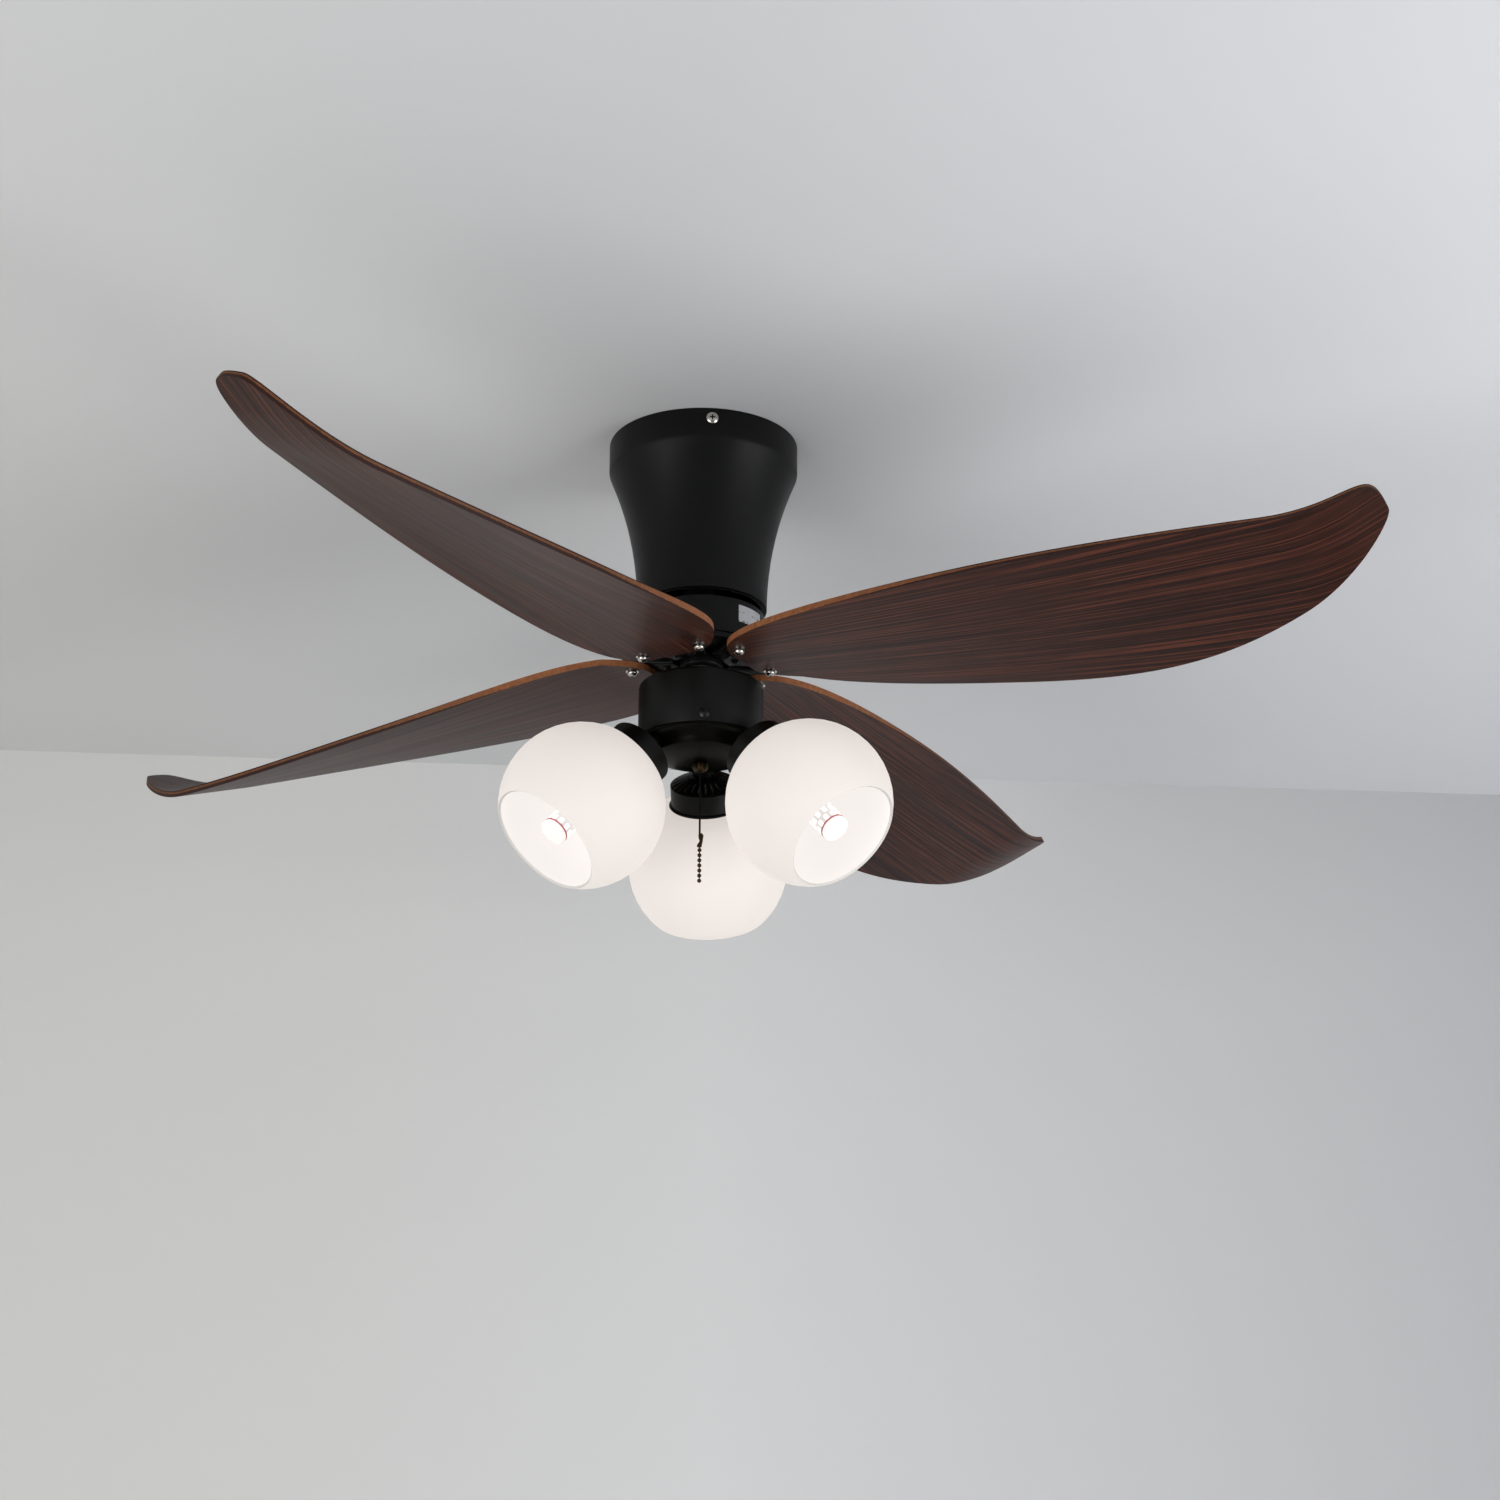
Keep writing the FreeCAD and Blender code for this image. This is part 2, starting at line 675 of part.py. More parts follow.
def blade(index):
    body = new_body(f"blade_{index + 1}", blade_place(index))
    root_height = below(f"{BLADE_TOP} + blade_thickness / 2")
    sections = []
    for step in range(3):
        reach = f"blade_slab_start + {step} * ({flat_end} - blade_slab_start) / 3"
        sections.append(blade_section(body, reach, root_height, "0"))
    stations = int(SIZES["blade_stations"])
    for station in range(stations + 1):
        share = f"({station} / blade_stations)"
        reach = f"({flat_end} + {share} * (blade_slab_end - {flat_end}))"
        run = f"(({reach} - {flat_end}) / (blade_tip - {flat_end}))"
        settled = f"min({run} / blade_lift_start; 1)"
        raised = f"max(({run} - blade_lift_start) / (1 - blade_lift_start); 0)"
        height = (f"{root_height} - blade_droop * sin(90 * {settled})"
                  f" + blade_lift * {raised}^2")
        pitch = f"(blade_twist * sin(90 * min({run}; 1))^blade_twist_ease)"
        sections.append(blade_section(body, reach, height, pitch))
    loft = body.newObject("PartDesign::AdditiveLoft", f"{body.Label}_loft")
    loft.Profile = sections[0]
    loft.Sections = sections[1:]
    loft.Ruled = False
    trim_to_leaf(body)
    drill_foot = below(f"{BLADE_FOOT} + blade_thickness")
    for sign in ("-", ""):
        primitive(body, "SubtractiveCylinder",
                  at(blade_screw_reach, f"{sign}blade_screw_side", drill_foot),
                  Radius="blade_screw_shank + loose_fit", Height="3 * blade_thickness")


def leaf_edge(sketch, poles):
    """A smooth edge through its control points, each tied to the sheet."""
    places = [FreeCAD.Vector(number(x), number(y), 0) for x, y in poles]
    curve = Part.BSplineCurve()
    spans = len(poles) - 3
    curve.buildFromPolesMultsKnots(places, [4] + [1] * (spans - 1) + [4],
                                   list(range(spans + 1)), False, 3)
    geometry = sketch.addGeometry(curve, False)
    sketch.exposeInternalGeometry(geometry)
    for index, (x, y) in enumerate(poles):
        tie(sketch, "DistanceX", geometry + 1 + index, 3, x)
        tie(sketch, "DistanceY", geometry + 1 + index, 3, y)
    return geometry


def trim_to_leaf(body):
    """Cuts away everything of the slab outside the leaf outline."""
    sketch = sketch_on(body, "XY_Plane")
    belly = leaf_edge(sketch, [
        ("leaf_root", "leaf_root_half"),
        ("leaf_root", "leaf_root_round"),
        ("leaf_belly_near_out", "leaf_belly_near_side"),
        ("leaf_belly_middle_out", "leaf_belly_middle_side"),
        ("leaf_belly_far_out", "leaf_belly_far_side"),
        ("leaf_tip", "leaf_tip_side + leaf_tip_round"),
        ("leaf_tip", "leaf_tip_side"),
    ])
    back = leaf_edge(sketch, [
        ("leaf_tip", "leaf_tip_side"),
        ("leaf_tip", "leaf_tip_side - 2 * leaf_tip_round"),
        ("leaf_back_far_out", "leaf_back_far_side"),
        ("leaf_back_middle_out", "leaf_back_middle_side"),
        ("leaf_back_near_out", "leaf_back_near_side"),
        ("leaf_root", "-2 * leaf_root_round"),
        ("leaf_root", "-leaf_root_half"),
    ])
    root = sketch.addGeometry(Part.LineSegment(
        FreeCAD.Vector(number("leaf_root"), -number("leaf_root_half"), 0),
        FreeCAD.Vector(number("leaf_root"), number("leaf_root_half"), 0)), False)
    sketch.addConstraint(Sketcher.Constraint("Coincident", root, 1, back, 2))
    sketch.addConstraint(Sketcher.Constraint("Coincident", root, 2, belly, 1))
    outline(sketch, [
        ("blade_slab_start - blade_thickness", "-2 * blade_slab_half"),
        ("blade_slab_end + blade_thickness", "-2 * blade_slab_half"),
        ("blade_slab_end + blade_thickness", "2 * blade_slab_half"),
        ("blade_slab_start - blade_thickness", "2 * blade_slab_half"),
    ])
    trim = body.newObject("PartDesign::Pocket", f"{body.Label}_trim")
    trim.Profile = (sketch, [""])
    trim.Type = "ThroughAll"


for index in range(int(SIZES["blade_count"])):
    blade_arm(index)
    blade(index)

arm_screws = new_body("arm_screws", swung("blade_angle"))
around(arm_screws, [headed(arm_screws, "arm_screw", "arm_screw_reach", f"{sign}arm_screw_side",
                           below(ARM_FOOT), "180") for sign in ("-", "")], "blade_count")
blade_screws = new_body("blade_screws", swung("blade_angle"))
around(blade_screws, [headed(blade_screws, "blade_screw", blade_screw_reach, f"{sign}blade_screw_side",
                             below(f"{WASHER_TOP} + washer_height"), "180") for sign in ("-", "")],
       "blade_count")
washers = new_body("blade_washers", swung("blade_angle"))
around(washers, [spun(washers, [
    ("blade_screw_shank + loose_fit", "0"),
    ("washer_radius", "0"),
    ("washer_radius", "-washer_height"),
    ("blade_screw_shank + loose_fit", "-washer_height"),
], at(blade_screw_reach, below(WASHER_TOP), f"{sign}blade_screw_side")) for sign in ("-", "")],
       "blade_count")

# --- switch housing hung from the shaft's end ---
turned("neck_collar", [
    ("shaft_radius + fixed_fit", below(NECK_TOP)),
    ("neck_radius - hub_chamfer", below(NECK_TOP)),
    ("neck_radius", below(f"{NECK_TOP} + hub_chamfer")),
    ("neck_radius", below(HOUSING_TOP)),
    ("shaft_radius + fixed_fit", below(HOUSING_TOP)),
])
shoulder = f"{HOUSING_TOP} + housing_shoulder"
inner_housing = "housing_radius - housing_wall"
housing = turned("switch_housing", [
    ("shaft_radius + fixed_fit", below(HOUSING_TOP)),
    ("housing_radius - housing_shoulder", below(HOUSING_TOP), "housing_shoulder", "left"),
    ("housing_radius", below(shoulder)),
    ("housing_radius", below(HOUSING_FOOT)),
    (inner_housing, below(HOUSING_FOOT)),
    (inner_housing, below(shoulder), "housing_shoulder - housing_wall", "right"),
    ("housing_radius - housing_shoulder", below(f"{HOUSING_TOP} + housing_wall")),
    ("shaft_radius + fixed_fit", below(f"{HOUSING_TOP} + housing_wall")),
], swung("housing_screw_angle"))
housing_screw_level = f"{HOUSING_FOOT} - housing_screw_rise"
hole = primitive(housing, "SubtractiveCylinder",
                 at("housing_radius - 3 * housing_wall", "0", below(housing_screw_level), ALONG_X),
                 Radius="housing_screw_shank + loose_fit", Height="6 * housing_wall")
around(housing, [hole], "housing_screw_count")
housing_screws = new_body("housing_screws", swung("housing_screw_angle"))
one = headed(housing_screws, "housing_screw", "housing_radius", "0", below(housing_screw_level), "-90")
around(housing_screws, [one], "housing_screw_count")

nut = new_body("shaft_nut")
nut_side = "nut_flat / sqrt(3)"
padded(nut, [(f"({nut_side}) * {math.cos(math.radians(60 * k)):.6f}",
              f"({nut_side}) * {math.sin(math.radians(60 * k)):.6f}") for k in range(6)],
       at("0", "0", below(f"{HOUSING_TOP} + housing_wall + nut_height")), "nut_height")
primitive(nut, "SubtractiveCylinder", at("0", "0", below(f"{HOUSING_FOOT}")),
          Radius="shaft_radius + fixed_fit", Height="housing_height")

# --- light pan: telescopes into the housing and carries the three lamps ---
pan_rim_radius = f"{inner_housing} - fixed_fit"
bowl_round = "((pan_bowl_radius^2 + pan_bowl_height^2) / (2 * pan_bowl_height))"
pan = turned("light_pan", [
    (pan_rim_radius, below(f"{HOUSING_FOOT} - pan_rim")),
    (pan_rim_radius, below(HOUSING_FOOT)),
    ("housing_radius - pan_bead_inset", below(HOUSING_FOOT)),
    ("housing_radius - pan_bead_inset", below(f"{BEAD_FOOT} - 1")),
    ("housing_radius - pan_bead_inset - 1", below(BEAD_FOOT)),
    ("pan_cove_radius", below(BEAD_FOOT), "pan_cove_round", "right"),
    ("pan_bowl_radius", below(COVE_FOOT), bowl_round, "left"),
    ("switch_neck + fixed_fit", below(PAN_FOOT)),
    ("switch_neck + fixed_fit", below(f"{PAN_FOOT} - pan_wall")),
    ("bushing_radius", below(f"{PAN_FOOT} - pan_wall"), bowl_round, "right"),
    ("pan_bowl_radius - pan_wall", below(f"{COVE_FOOT} - pan_wall"), "pan_cove_round", "left"),
    ("pan_cove_radius - pan_wall", below(f"{BEAD_FOOT} - pan_wall")),
    (f"{pan_rim_radius} - pan_wall", below(f"{BEAD_FOOT} - pan_wall")),
    (f"{pan_rim_radius} - pan_wall", below(f"{HOUSING_FOOT} - pan_rim")),
], swung("lamp_angle"))
lean = "rotation(vector(0; 1; 0); -lamp_lean)"


def on_lamp_axis(distance):
    """A placement on a lamp's axis, a distance from the globe's centre towards the pan."""
    run = f"(lamp_stand - ({distance}))"
    return at(f"lamp_seat_radius + {run} * sin(lamp_lean)", "0",
              f"-({BEAD_FOOT}) - {run} * cos(lamp_lean)", lean)


boss_depth = "(lamp_stand - cup_top + lamp_boss_inset)"
boss = primitive(pan, "AdditiveCylinder", on_lamp_axis("cup_top"),
                 Radius="lamp_boss_radius", Height=boss_depth)
around(pan, [boss], "lamp_count")
wire_way = primitive(pan, "SubtractiveCylinder", on_lamp_axis("cup_top - cup_wall"),
                     Radius="nipple_radius", Height=f"2 * {boss_depth}")
around(pan, [wire_way], "lamp_count")
rim_thread = primitive(pan, "SubtractiveCylinder",
                       facing("(housing_screw_angle - lamp_angle)", "housing_radius - 4 * pan_wall",
                              below(housing_screw_level)),
                       Radius="housing_screw_shank + fixed_fit", Height="4 * pan_wall")
around(pan, [rim_thread], "housing_screw_count")

turned("chain_bushing", [
    ("bushing_bore", below(PAN_FOOT)),
    ("bushing_radius", below(PAN_FOOT)),
    ("bushing_radius", below(f"{BUSHING_FOOT} - bushing_length / 3")),
    ("bushing_radius - 2", below(BUSHING_FOOT)),
    ("bushing_bore", below(BUSHING_FOOT)),
])
turned("pull_switch", [
    ("0", below(f"{PAN_FOOT} - pan_wall - switch_height")),
    ("switch_radius", below(f"{PAN_FOOT} - pan_wall - switch_height")),
    ("switch_radius", below(f"{PAN_FOOT} - pan_wall - hub_gap - pan_wall")),
    ("switch_neck", below(f"{PAN_FOOT} - pan_wall - hub_gap - pan_wall")),
    ("switch_neck", below(PAN_FOOT)),
    ("bushing_bore", below(PAN_FOOT)),
    ("bushing_bore", below(f"{CORD_TOP} - loose_fit")),
    ("0", below(f"{CORD_TOP} - loose_fit")),
])

# --- three lamps ---
SIDES = ("right", "back", "left")
cup_inner = "cup_radius - cup_wall"
cup_ceiling = "cup_top - cup_wall"
neck_top = "socket_flange - socket_flange_height"
outer_shoulder = "sqrt(globe_radius^2 - globe_shoulder^2)"
inner_share = "((globe_radius - glass_wall) / globe_radius)"
mouth = "sqrt(globe_radius^2 - globe_opening^2)"


lamp_reach = "(lamp_seat_radius + lamp_stand * sin(lamp_lean))"
lamp_drop = f"({BEAD_FOOT} + lamp_stand * cos(lamp_lean))"


def lamp_place(index):
    angle = f"(lamp_angle + {index} * 360 / lamp_count)"
    return (f"placement(vector({lamp_reach} * cos({angle}); {lamp_reach} * sin({angle}); -{lamp_drop});"
            f" rotation(vector(0; 0; 1); {angle}) * {lean})")


def lamp_cup(side, place):
    """A pressed cup with a beaded mouth and a ring of vents through its conical top."""
    cup = turned(f"lamp_cup_{side}", [
        ("nipple_radius", "cup_top"),
        ("cup_top_radius", "cup_top"),
        ("cup_radius", "cup_shoulder"),
        ("cup_radius", "cup_mouth + cup_bead_height"),
        ("cup_bead_radius", "cup_mouth + cup_bead_height * 0.6"),
        ("cup_bead_radius", "cup_mouth + cup_bead_height * 0.3"),
        ("cup_radius", "cup_mouth"),
        (cup_inner, "cup_mouth"),
        (cup_inner, "cup_shoulder - cup_wall / 2"),
        ("cup_top_radius - cup_wall / 2", cup_ceiling),
        ("nipple_radius", cup_ceiling),
    ], place)
    vent = primitive(cup, "SubtractiveBox",
                     at("vent_start", "-vent_width / 2", "cup_shoulder - 2 * cup_wall"),
                     Length="vent_end - vent_start", Width="vent_width",
                     Height="cup_top - cup_shoulder + 4 * cup_wall")
    around(cup, [vent], "vent_count")


def lamp_socket(side, place):
    """The screw socket: a threaded skirt below a flange that the glass is clamped against."""
    turned(f"lamp_socket_{side}", [
        ("0", cup_ceiling),
        ("cup_top_radius - cup_wall", cup_ceiling),
        ("socket_radius", "socket_flange + 2 * socket_flange_height"),
        ("socket_radius", "socket_flange"),
        ("socket_flange_radius", "socket_flange"),
        ("socket_flange_radius", neck_top),
        ("socket_skirt_radius", neck_top),
        ("socket_skirt_radius", "socket_mouth"),
        ("socket_bore", "socket_mouth"),
        ("socket_bore", "socket_floor"),
        ("0", "socket_floor"),
    ], place)


def glass_globe(side, place):
    """An opal glass ball with a short neck above and a wide round opening below."""
    inner_neck = "glass_neck - glass_wall"
    turned(f"glass_globe_{side}", [
        ("glass_hole", neck_top),
        ("glass_neck", neck_top),
        ("glass_neck", "glass_neck_foot", "globe_shoulder_round", "left"),
        ("globe_shoulder", outer_shoulder, "globe_radius", "left"),
        ("globe_opening", f"-{mouth}"),
        (f"globe_opening * {inner_share}", f"-{mouth} * {inner_share}",
         "globe_radius - glass_wall", "right"),
        (f"globe_shoulder * {inner_share}", f"{outer_shoulder} * {inner_share}",
         "globe_shoulder_round - glass_wall", "right"),
        (inner_neck, "glass_neck_foot - glass_wall"),
        (inner_neck, f"{neck_top} - glass_wall"),
        ("glass_hole", f"{neck_top} - glass_wall"),
    ], place)


def bulb(side, place):
    """A column LED bulb: screw shell with its collar, round LED column and end cap."""
    turned(f"bulb_base_{side}", [
        ("0", "socket_floor - 1"),
        ("bulb_shell_radius / 2", "socket_floor - 1"),
        ("bulb_shell_radius", "socket_floor - 5"),
        ("bulb_shell_radius", "bulb_collar_top"),
        ("bulb_collar_radius", "bulb_collar_top - 4"),
        ("bulb_collar_radius", "bulb_collar_foot"),
        ("0", "bulb_collar_foot"),
    ], place)
    turned(f"led_column_{side}", [
        ("0", "bulb_collar_foot"),
        ("bulb_column_radius", "bulb_collar_foot"),
        ("bulb_column_radius", "-bulb_column_foot"),
        ("0", "-bulb_column_foot"),
    ], place)
    turned(f"bulb_cap_{side}", [
        ("0", "-bulb_column_foot"),
        ("bulb_cap_radius", "-bulb_column_foot"),
        ("bulb_cap_radius", "1.5 - bulb_column_foot - bulb_cap_height"),
        ("bulb_cap_radius - 1.5", "-bulb_column_foot - bulb_cap_height"),
        ("0", "-bulb_column_foot - bulb_cap_height"),
    ], place)


for index, side in enumerate(SIDES):
    place = lamp_place(index)
    lamp_cup(side, place)
    lamp_socket(side, place)
    turned(f"shade_ring_{side}", [
        ("socket_skirt_radius + fixed_fit", f"{neck_top} - glass_wall"),
        ("ring_radius", f"{neck_top} - glass_wall"),
        ("ring_radius", f"{neck_top} - glass_wall - ring_height"),
        ("socket_skirt_radius + fixed_fit", f"{neck_top} - glass_wall - ring_height"),
    ], place)
    glass_globe(side, place)
    bulb(side, place)

# --- pull cord, bell coupler and bead chain ---
turned("pull_cord", [
    ("0", below(CORD_TOP)),
    ("cord_radius", below(CORD_TOP)),
    ("cord_radius", below(CORD_FOOT)),
    ("0", below(CORD_FOOT)),
])
turned("cord_coupler", [
    ("0", below(CORD_FOOT)),
    ("coupler_radius * 0.6", below(CORD_FOOT)),
    ("coupler_radius", below(f"{CORD_FOOT} + coupler_height * 0.3")),
    ("coupler_radius * 0.7", below(f"{CORD_FOOT} + coupler_height * 0.5")),
    ("coupler_radius", below(f"{CORD_FOOT} + coupler_height * 0.9")),
    ("coupler_radius * 0.8", below(f"{CORD_FOOT} + coupler_height")),
    ("0", below(f"{CORD_FOOT} + coupler_height")),
])
CHAIN_TOP = f"{CORD_FOOT} + coupler_height"
chain_outline = [("0", below(CHAIN_TOP)), ("bead_link_radius", below(CHAIN_TOP))]
bead_half = "sqrt(bead_radius^2 - bead_link_radius^2)"
for index in range(int(SIZES["bead_count"])):
    centre = f"{CHAIN_TOP} + bead_start + {index} * bead_pitch"
    chain_outline.append(("bead_link_radius", below(f"{centre} - {bead_half}"), "bead_radius", "left"))
    chain_outline.append(("bead_link_radius", below(f"{centre} + {bead_half}")))
chain_outline.append(("0", below(f"{centre} + {bead_half}")))
turned("ball_chain", chain_outline)

# --- electrical boxes ---
capacitor = new_body("capacitor")
capacitor_start = f"({nut_side} + hub_gap)"
primitive(capacitor, "AdditiveBox",
          at(capacitor_start, "-capacitor_width / 2",
             below(f"{HOUSING_TOP} + housing_wall + capacitor_height")),
          Length=f"housing_radius - housing_shoulder - capacitor_clearance - {capacitor_start}",
          Width="capacitor_width", Height="capacitor_height")
receiver = new_body("receiver_box")
primitive(receiver, "AdditiveBox",
          at("rod_radius", "-receiver_length / 2", below("receiver_drop + receiver_height")),
          Length="receiver_width", Width="receiver_length", Height="receiver_height")

doc.recompute()

for item in doc.Objects:
    if "Invalid" in item.State or "Error" in item.State:
        raise RuntimeError(f"{item.Name} of {item.Label} did not compute: {item.State}")
os.makedirs("parts", exist_ok=True)
for body in pieces:
    shape = body.Shape
    if shape.isNull() or not shape.isValid() or not shape.Solids:
        raise RuntimeError(f"{body.Label} has no valid solid")
for body in pieces:
    body.Shape.exportStep(f"parts/{body.Label}.step")
    print(f"{body.Label}: {len(body.Shape.Solids)} solids, {body.Shape.Volume:.1f} mm3")
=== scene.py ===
# Flush ceiling fan with three glass-shaded lamps, finished piece by piece round its CAD frame.
# Sizes are written in millimetres and made metres as each piece is drawn; the fan's axis is the Z axis.
import bpy
import bmesh
import math
from mathutils import Matrix, Vector


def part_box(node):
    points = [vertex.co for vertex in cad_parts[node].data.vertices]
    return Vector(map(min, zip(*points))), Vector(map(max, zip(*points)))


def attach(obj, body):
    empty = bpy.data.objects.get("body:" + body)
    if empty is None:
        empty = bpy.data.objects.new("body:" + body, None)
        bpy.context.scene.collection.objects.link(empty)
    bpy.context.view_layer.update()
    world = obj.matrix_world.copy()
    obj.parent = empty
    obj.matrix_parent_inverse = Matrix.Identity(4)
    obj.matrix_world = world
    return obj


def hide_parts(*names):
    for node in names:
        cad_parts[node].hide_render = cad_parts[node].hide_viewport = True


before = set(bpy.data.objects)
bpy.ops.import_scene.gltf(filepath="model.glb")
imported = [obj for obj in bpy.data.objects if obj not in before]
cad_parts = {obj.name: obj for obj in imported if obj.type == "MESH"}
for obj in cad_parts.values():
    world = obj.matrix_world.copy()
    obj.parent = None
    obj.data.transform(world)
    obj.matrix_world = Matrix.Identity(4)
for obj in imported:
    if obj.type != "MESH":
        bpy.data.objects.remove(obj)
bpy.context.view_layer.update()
MM = 0.001

# --- Camera ---
# A viewer's look up at the fan from across the room, through a long lens. It stands 2.7 m in front
# of the fan's axis and 1.3 m below the ceiling.
LENS_LENGTH = 77.2
SENSOR_WIDTH = 36
LOOK_UP = 20.18
CAMERA_ROLL = 0.26
CAMERA_SPOT = (0.0449, -2.7391, -1.3077)
FARTHEST_SEEN = 30
camera_data = bpy.data.cameras.new("camera")
camera_data.lens = LENS_LENGTH
camera_data.sensor_width = SENSOR_WIDTH
camera_data.clip_end = FARTHEST_SEEN
camera = bpy.data.objects.new("camera", camera_data)
bpy.context.scene.collection.objects.link(camera)
camera.matrix_world = (Matrix.Translation(CAMERA_SPOT)
                       @ Matrix.Rotation(math.radians(90 + LOOK_UP), 4, "X")
                       @ Matrix.Rotation(math.radians(CAMERA_ROLL), 4, "Z"))
bpy.context.scene.camera = camera

# --- Pull cord, coupler and bead chain ---
# A thin braided black cord hangs from the light switch; a folded brass coupler joins it to seven
# hollow brass beads on a wire. All three slide down together when the chain is pulled.
CORD_ROUTE = ((0, 0, -0.306), (0, 0, -0.322), (0, 0, -0.350), (0, 0, -0.3815))
CORD_THICKNESS = 1.8
CORD_PLAIT_PITCH = 1.6
COUPLER_DEPTH = 3
COUPLER_ROUND = 0.7
BEAD_RADIUS = 1.9
BEAD_PITCH = 4.8
BEAD_COUNT = 7
BEAD_WIRE_RADIUS = 0.5
FULL_TURN = 2 * math.pi
ARC_STEP = 7  # an arc is drawn in steps of about this many degrees
CHORD_STEP = 12  # or, where it is long and flat, of about this many millimetres
WELD = 0.00001  # metres within which two vertices are one
SMOOTH_ANGLE = 38


def from_hex(code):
    """A linear colour with full alpha from an sRGB hex value."""
    parts = [int(code[i:i + 2], 16) / 255 for i in (1, 3, 5)]
    return tuple(p / 12.92 if p <= 0.04045 else ((p + 0.055) / 1.055) ** 2.4 for p in parts) + (1,)


def add(material, kind, sockets=None, **settings):
    """Adds one node; a socket's entry is a value, or another node's output to link."""
    node = material.node_tree.nodes.new(kind)
    for name, value in settings.items():
        setattr(node, name, value)
    for name, value in (sockets or {}).items():
        if isinstance(value, bpy.types.NodeSocket):
            material.node_tree.links.new(value, node.inputs[name])
        else:
            node.inputs[name].default_value = value
    return node


def blank_material(name):
    material = bpy.data.materials.new(name)
    material.use_nodes = True
    material.node_tree.nodes.clear()
    return material


def draw(bm, corners):
    """Draws an outline in the XZ plane. A corner is (x, z), or (x, z, radius) when an arc leads
    to it: a positive radius bulges to the left of the way there, a negative one to the right."""
    last = bm.verts.new((corners[0][0] * MM, 0, corners[0][1] * MM))
    for x, z, *radius in corners[1:]:
        here = last.co.copy()
        there = Vector((x, 0, z)) * MM
        if not radius:
            following = bm.verts.new(there)
            bm.edges.new((last, following))
            last = following
            continue
        side = math.copysign(1, radius[0])
        bend = abs(radius[0]) * MM
        chord = there - here
        reach = min(chord.length / 2 / bend, 1)
        left = Vector((-chord.z, 0, chord.x)).normalized()
        centre = (here + there) / 2 - left * side * bend * math.sqrt(1 - reach ** 2)
        angle = 2 * math.asin(reach) * side
        steps = max(3, round(abs(math.degrees(angle)) / ARC_STEP), round(chord.length / (CHORD_STEP * MM)))
        swung = bmesh.ops.spin(bm, geom=[last], cent=centre, axis=(0, 1, 0), angle=angle, steps=steps)
        last = [item for item in swung["geom_last"] if isinstance(item, bmesh.types.BMVert)][0]


def lathe(corners, steps=96):
    """Turns an outline about the Z axis into a closed piece."""
    bm = bmesh.new()
    draw(bm, corners)
    bmesh.ops.spin(bm, geom=bm.verts[:] + bm.edges[:], cent=(0, 0, 0), axis=(0, 0, 1),
                   angle=FULL_TURN, steps=steps, use_merge=True)
    bmesh.ops.remove_doubles(bm, verts=bm.verts, dist=WELD)
    bmesh.ops.recalc_face_normals(bm, faces=bm.faces)
    return bm


def soften(bm, width, segments=2, angle=35):
    """Rounds every edge that is sharper than an angle."""
    sharp = [e for e in bm.edges if len(e.link_faces) == 2
             and e.calc_face_angle(0) > math.radians(angle)]
    bmesh.ops.bevel(bm, geom=sharp, offset=width * MM, offset_type="OFFSET", segments=segments,
                    profile=0.5, affect="EDGES", clamp_overlap=True, material=-1)


def finish_piece(name, bm, materials, body, slot, *replaced, place=None):
    """Makes a piece of a mesh, with its finish, and hangs it on a CAD body."""
    if place is not None:
        bmesh.ops.transform(bm, matrix=place, verts=bm.verts)
    mesh = bpy.data.meshes.new(name)
    bm.to_mesh(mesh)
    bm.free()
    for polygon in mesh.polygons:
        polygon.use_smooth = True
    mesh.set_sharp_from_angle(angle=math.radians(SMOOTH_ANGLE))
    for material in materials if isinstance(materials, list) else [materials]:
        mesh.materials.append(material)
    piece = bpy.data.objects.new(name, mesh)
    bpy.context.scene.collection.objects.link(piece)
    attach(piece, body)
    if replaced:
        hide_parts(*replaced)
    return piece


# Braided polyester: dull black, with slanted ribs. Those of a real plait are 1.6 mm apart; here they
# are 20 mm apart.
braided_cord = blank_material("braided_polyester_black")
place = add(braided_cord, "ShaderNodeTexCoord")
plait = add(braided_cord, "ShaderNodeTexWave", {"Vector": place.outputs["Object"],
            "Scale": 1 / (CORD_PLAIT_PITCH * MM) / 20}, wave_type="BANDS", bands_direction="DIAGONAL")
bump = add(braided_cord, "ShaderNodeBump", {"Height": plait.outputs["Fac"], "Strength": 0.5,
           "Distance": 0.0002})
surface = add(braided_cord, "ShaderNodeBsdfPrincipled", {
    "Base Color": from_hex("#0a0908"), "Roughness": 0.85, "Specular IOR Level": 0.2,
    "Normal": bump.outputs["Normal"]})
add(braided_cord, "ShaderNodeOutputMaterial", {"Surface": surface.outputs[0]})

# Antique brass: brass darkened in a bath and rubbed, so high spots are yellower than the rest.
antique_brass = blank_material("antique_brass")
place = add(antique_brass, "ShaderNodeTexCoord")
patches = add(antique_brass, "ShaderNodeTexNoise", {"Vector": place.outputs["Object"], "Scale": 900.0,
              "Detail": 3.0})
tint = add(antique_brass, "ShaderNodeMix", {"Factor": patches.outputs["Fac"],
           "A": from_hex("#1c160e"), "B": from_hex("#524229")}, data_type="RGBA")
surface = add(antique_brass, "ShaderNodeBsdfPrincipled", {
    "Base Color": tint.outputs["Result"], "Metallic": 1.0, "Roughness": 0.34})
add(antique_brass, "ShaderNodeOutputMaterial", {"Surface": surface.outputs[0]})

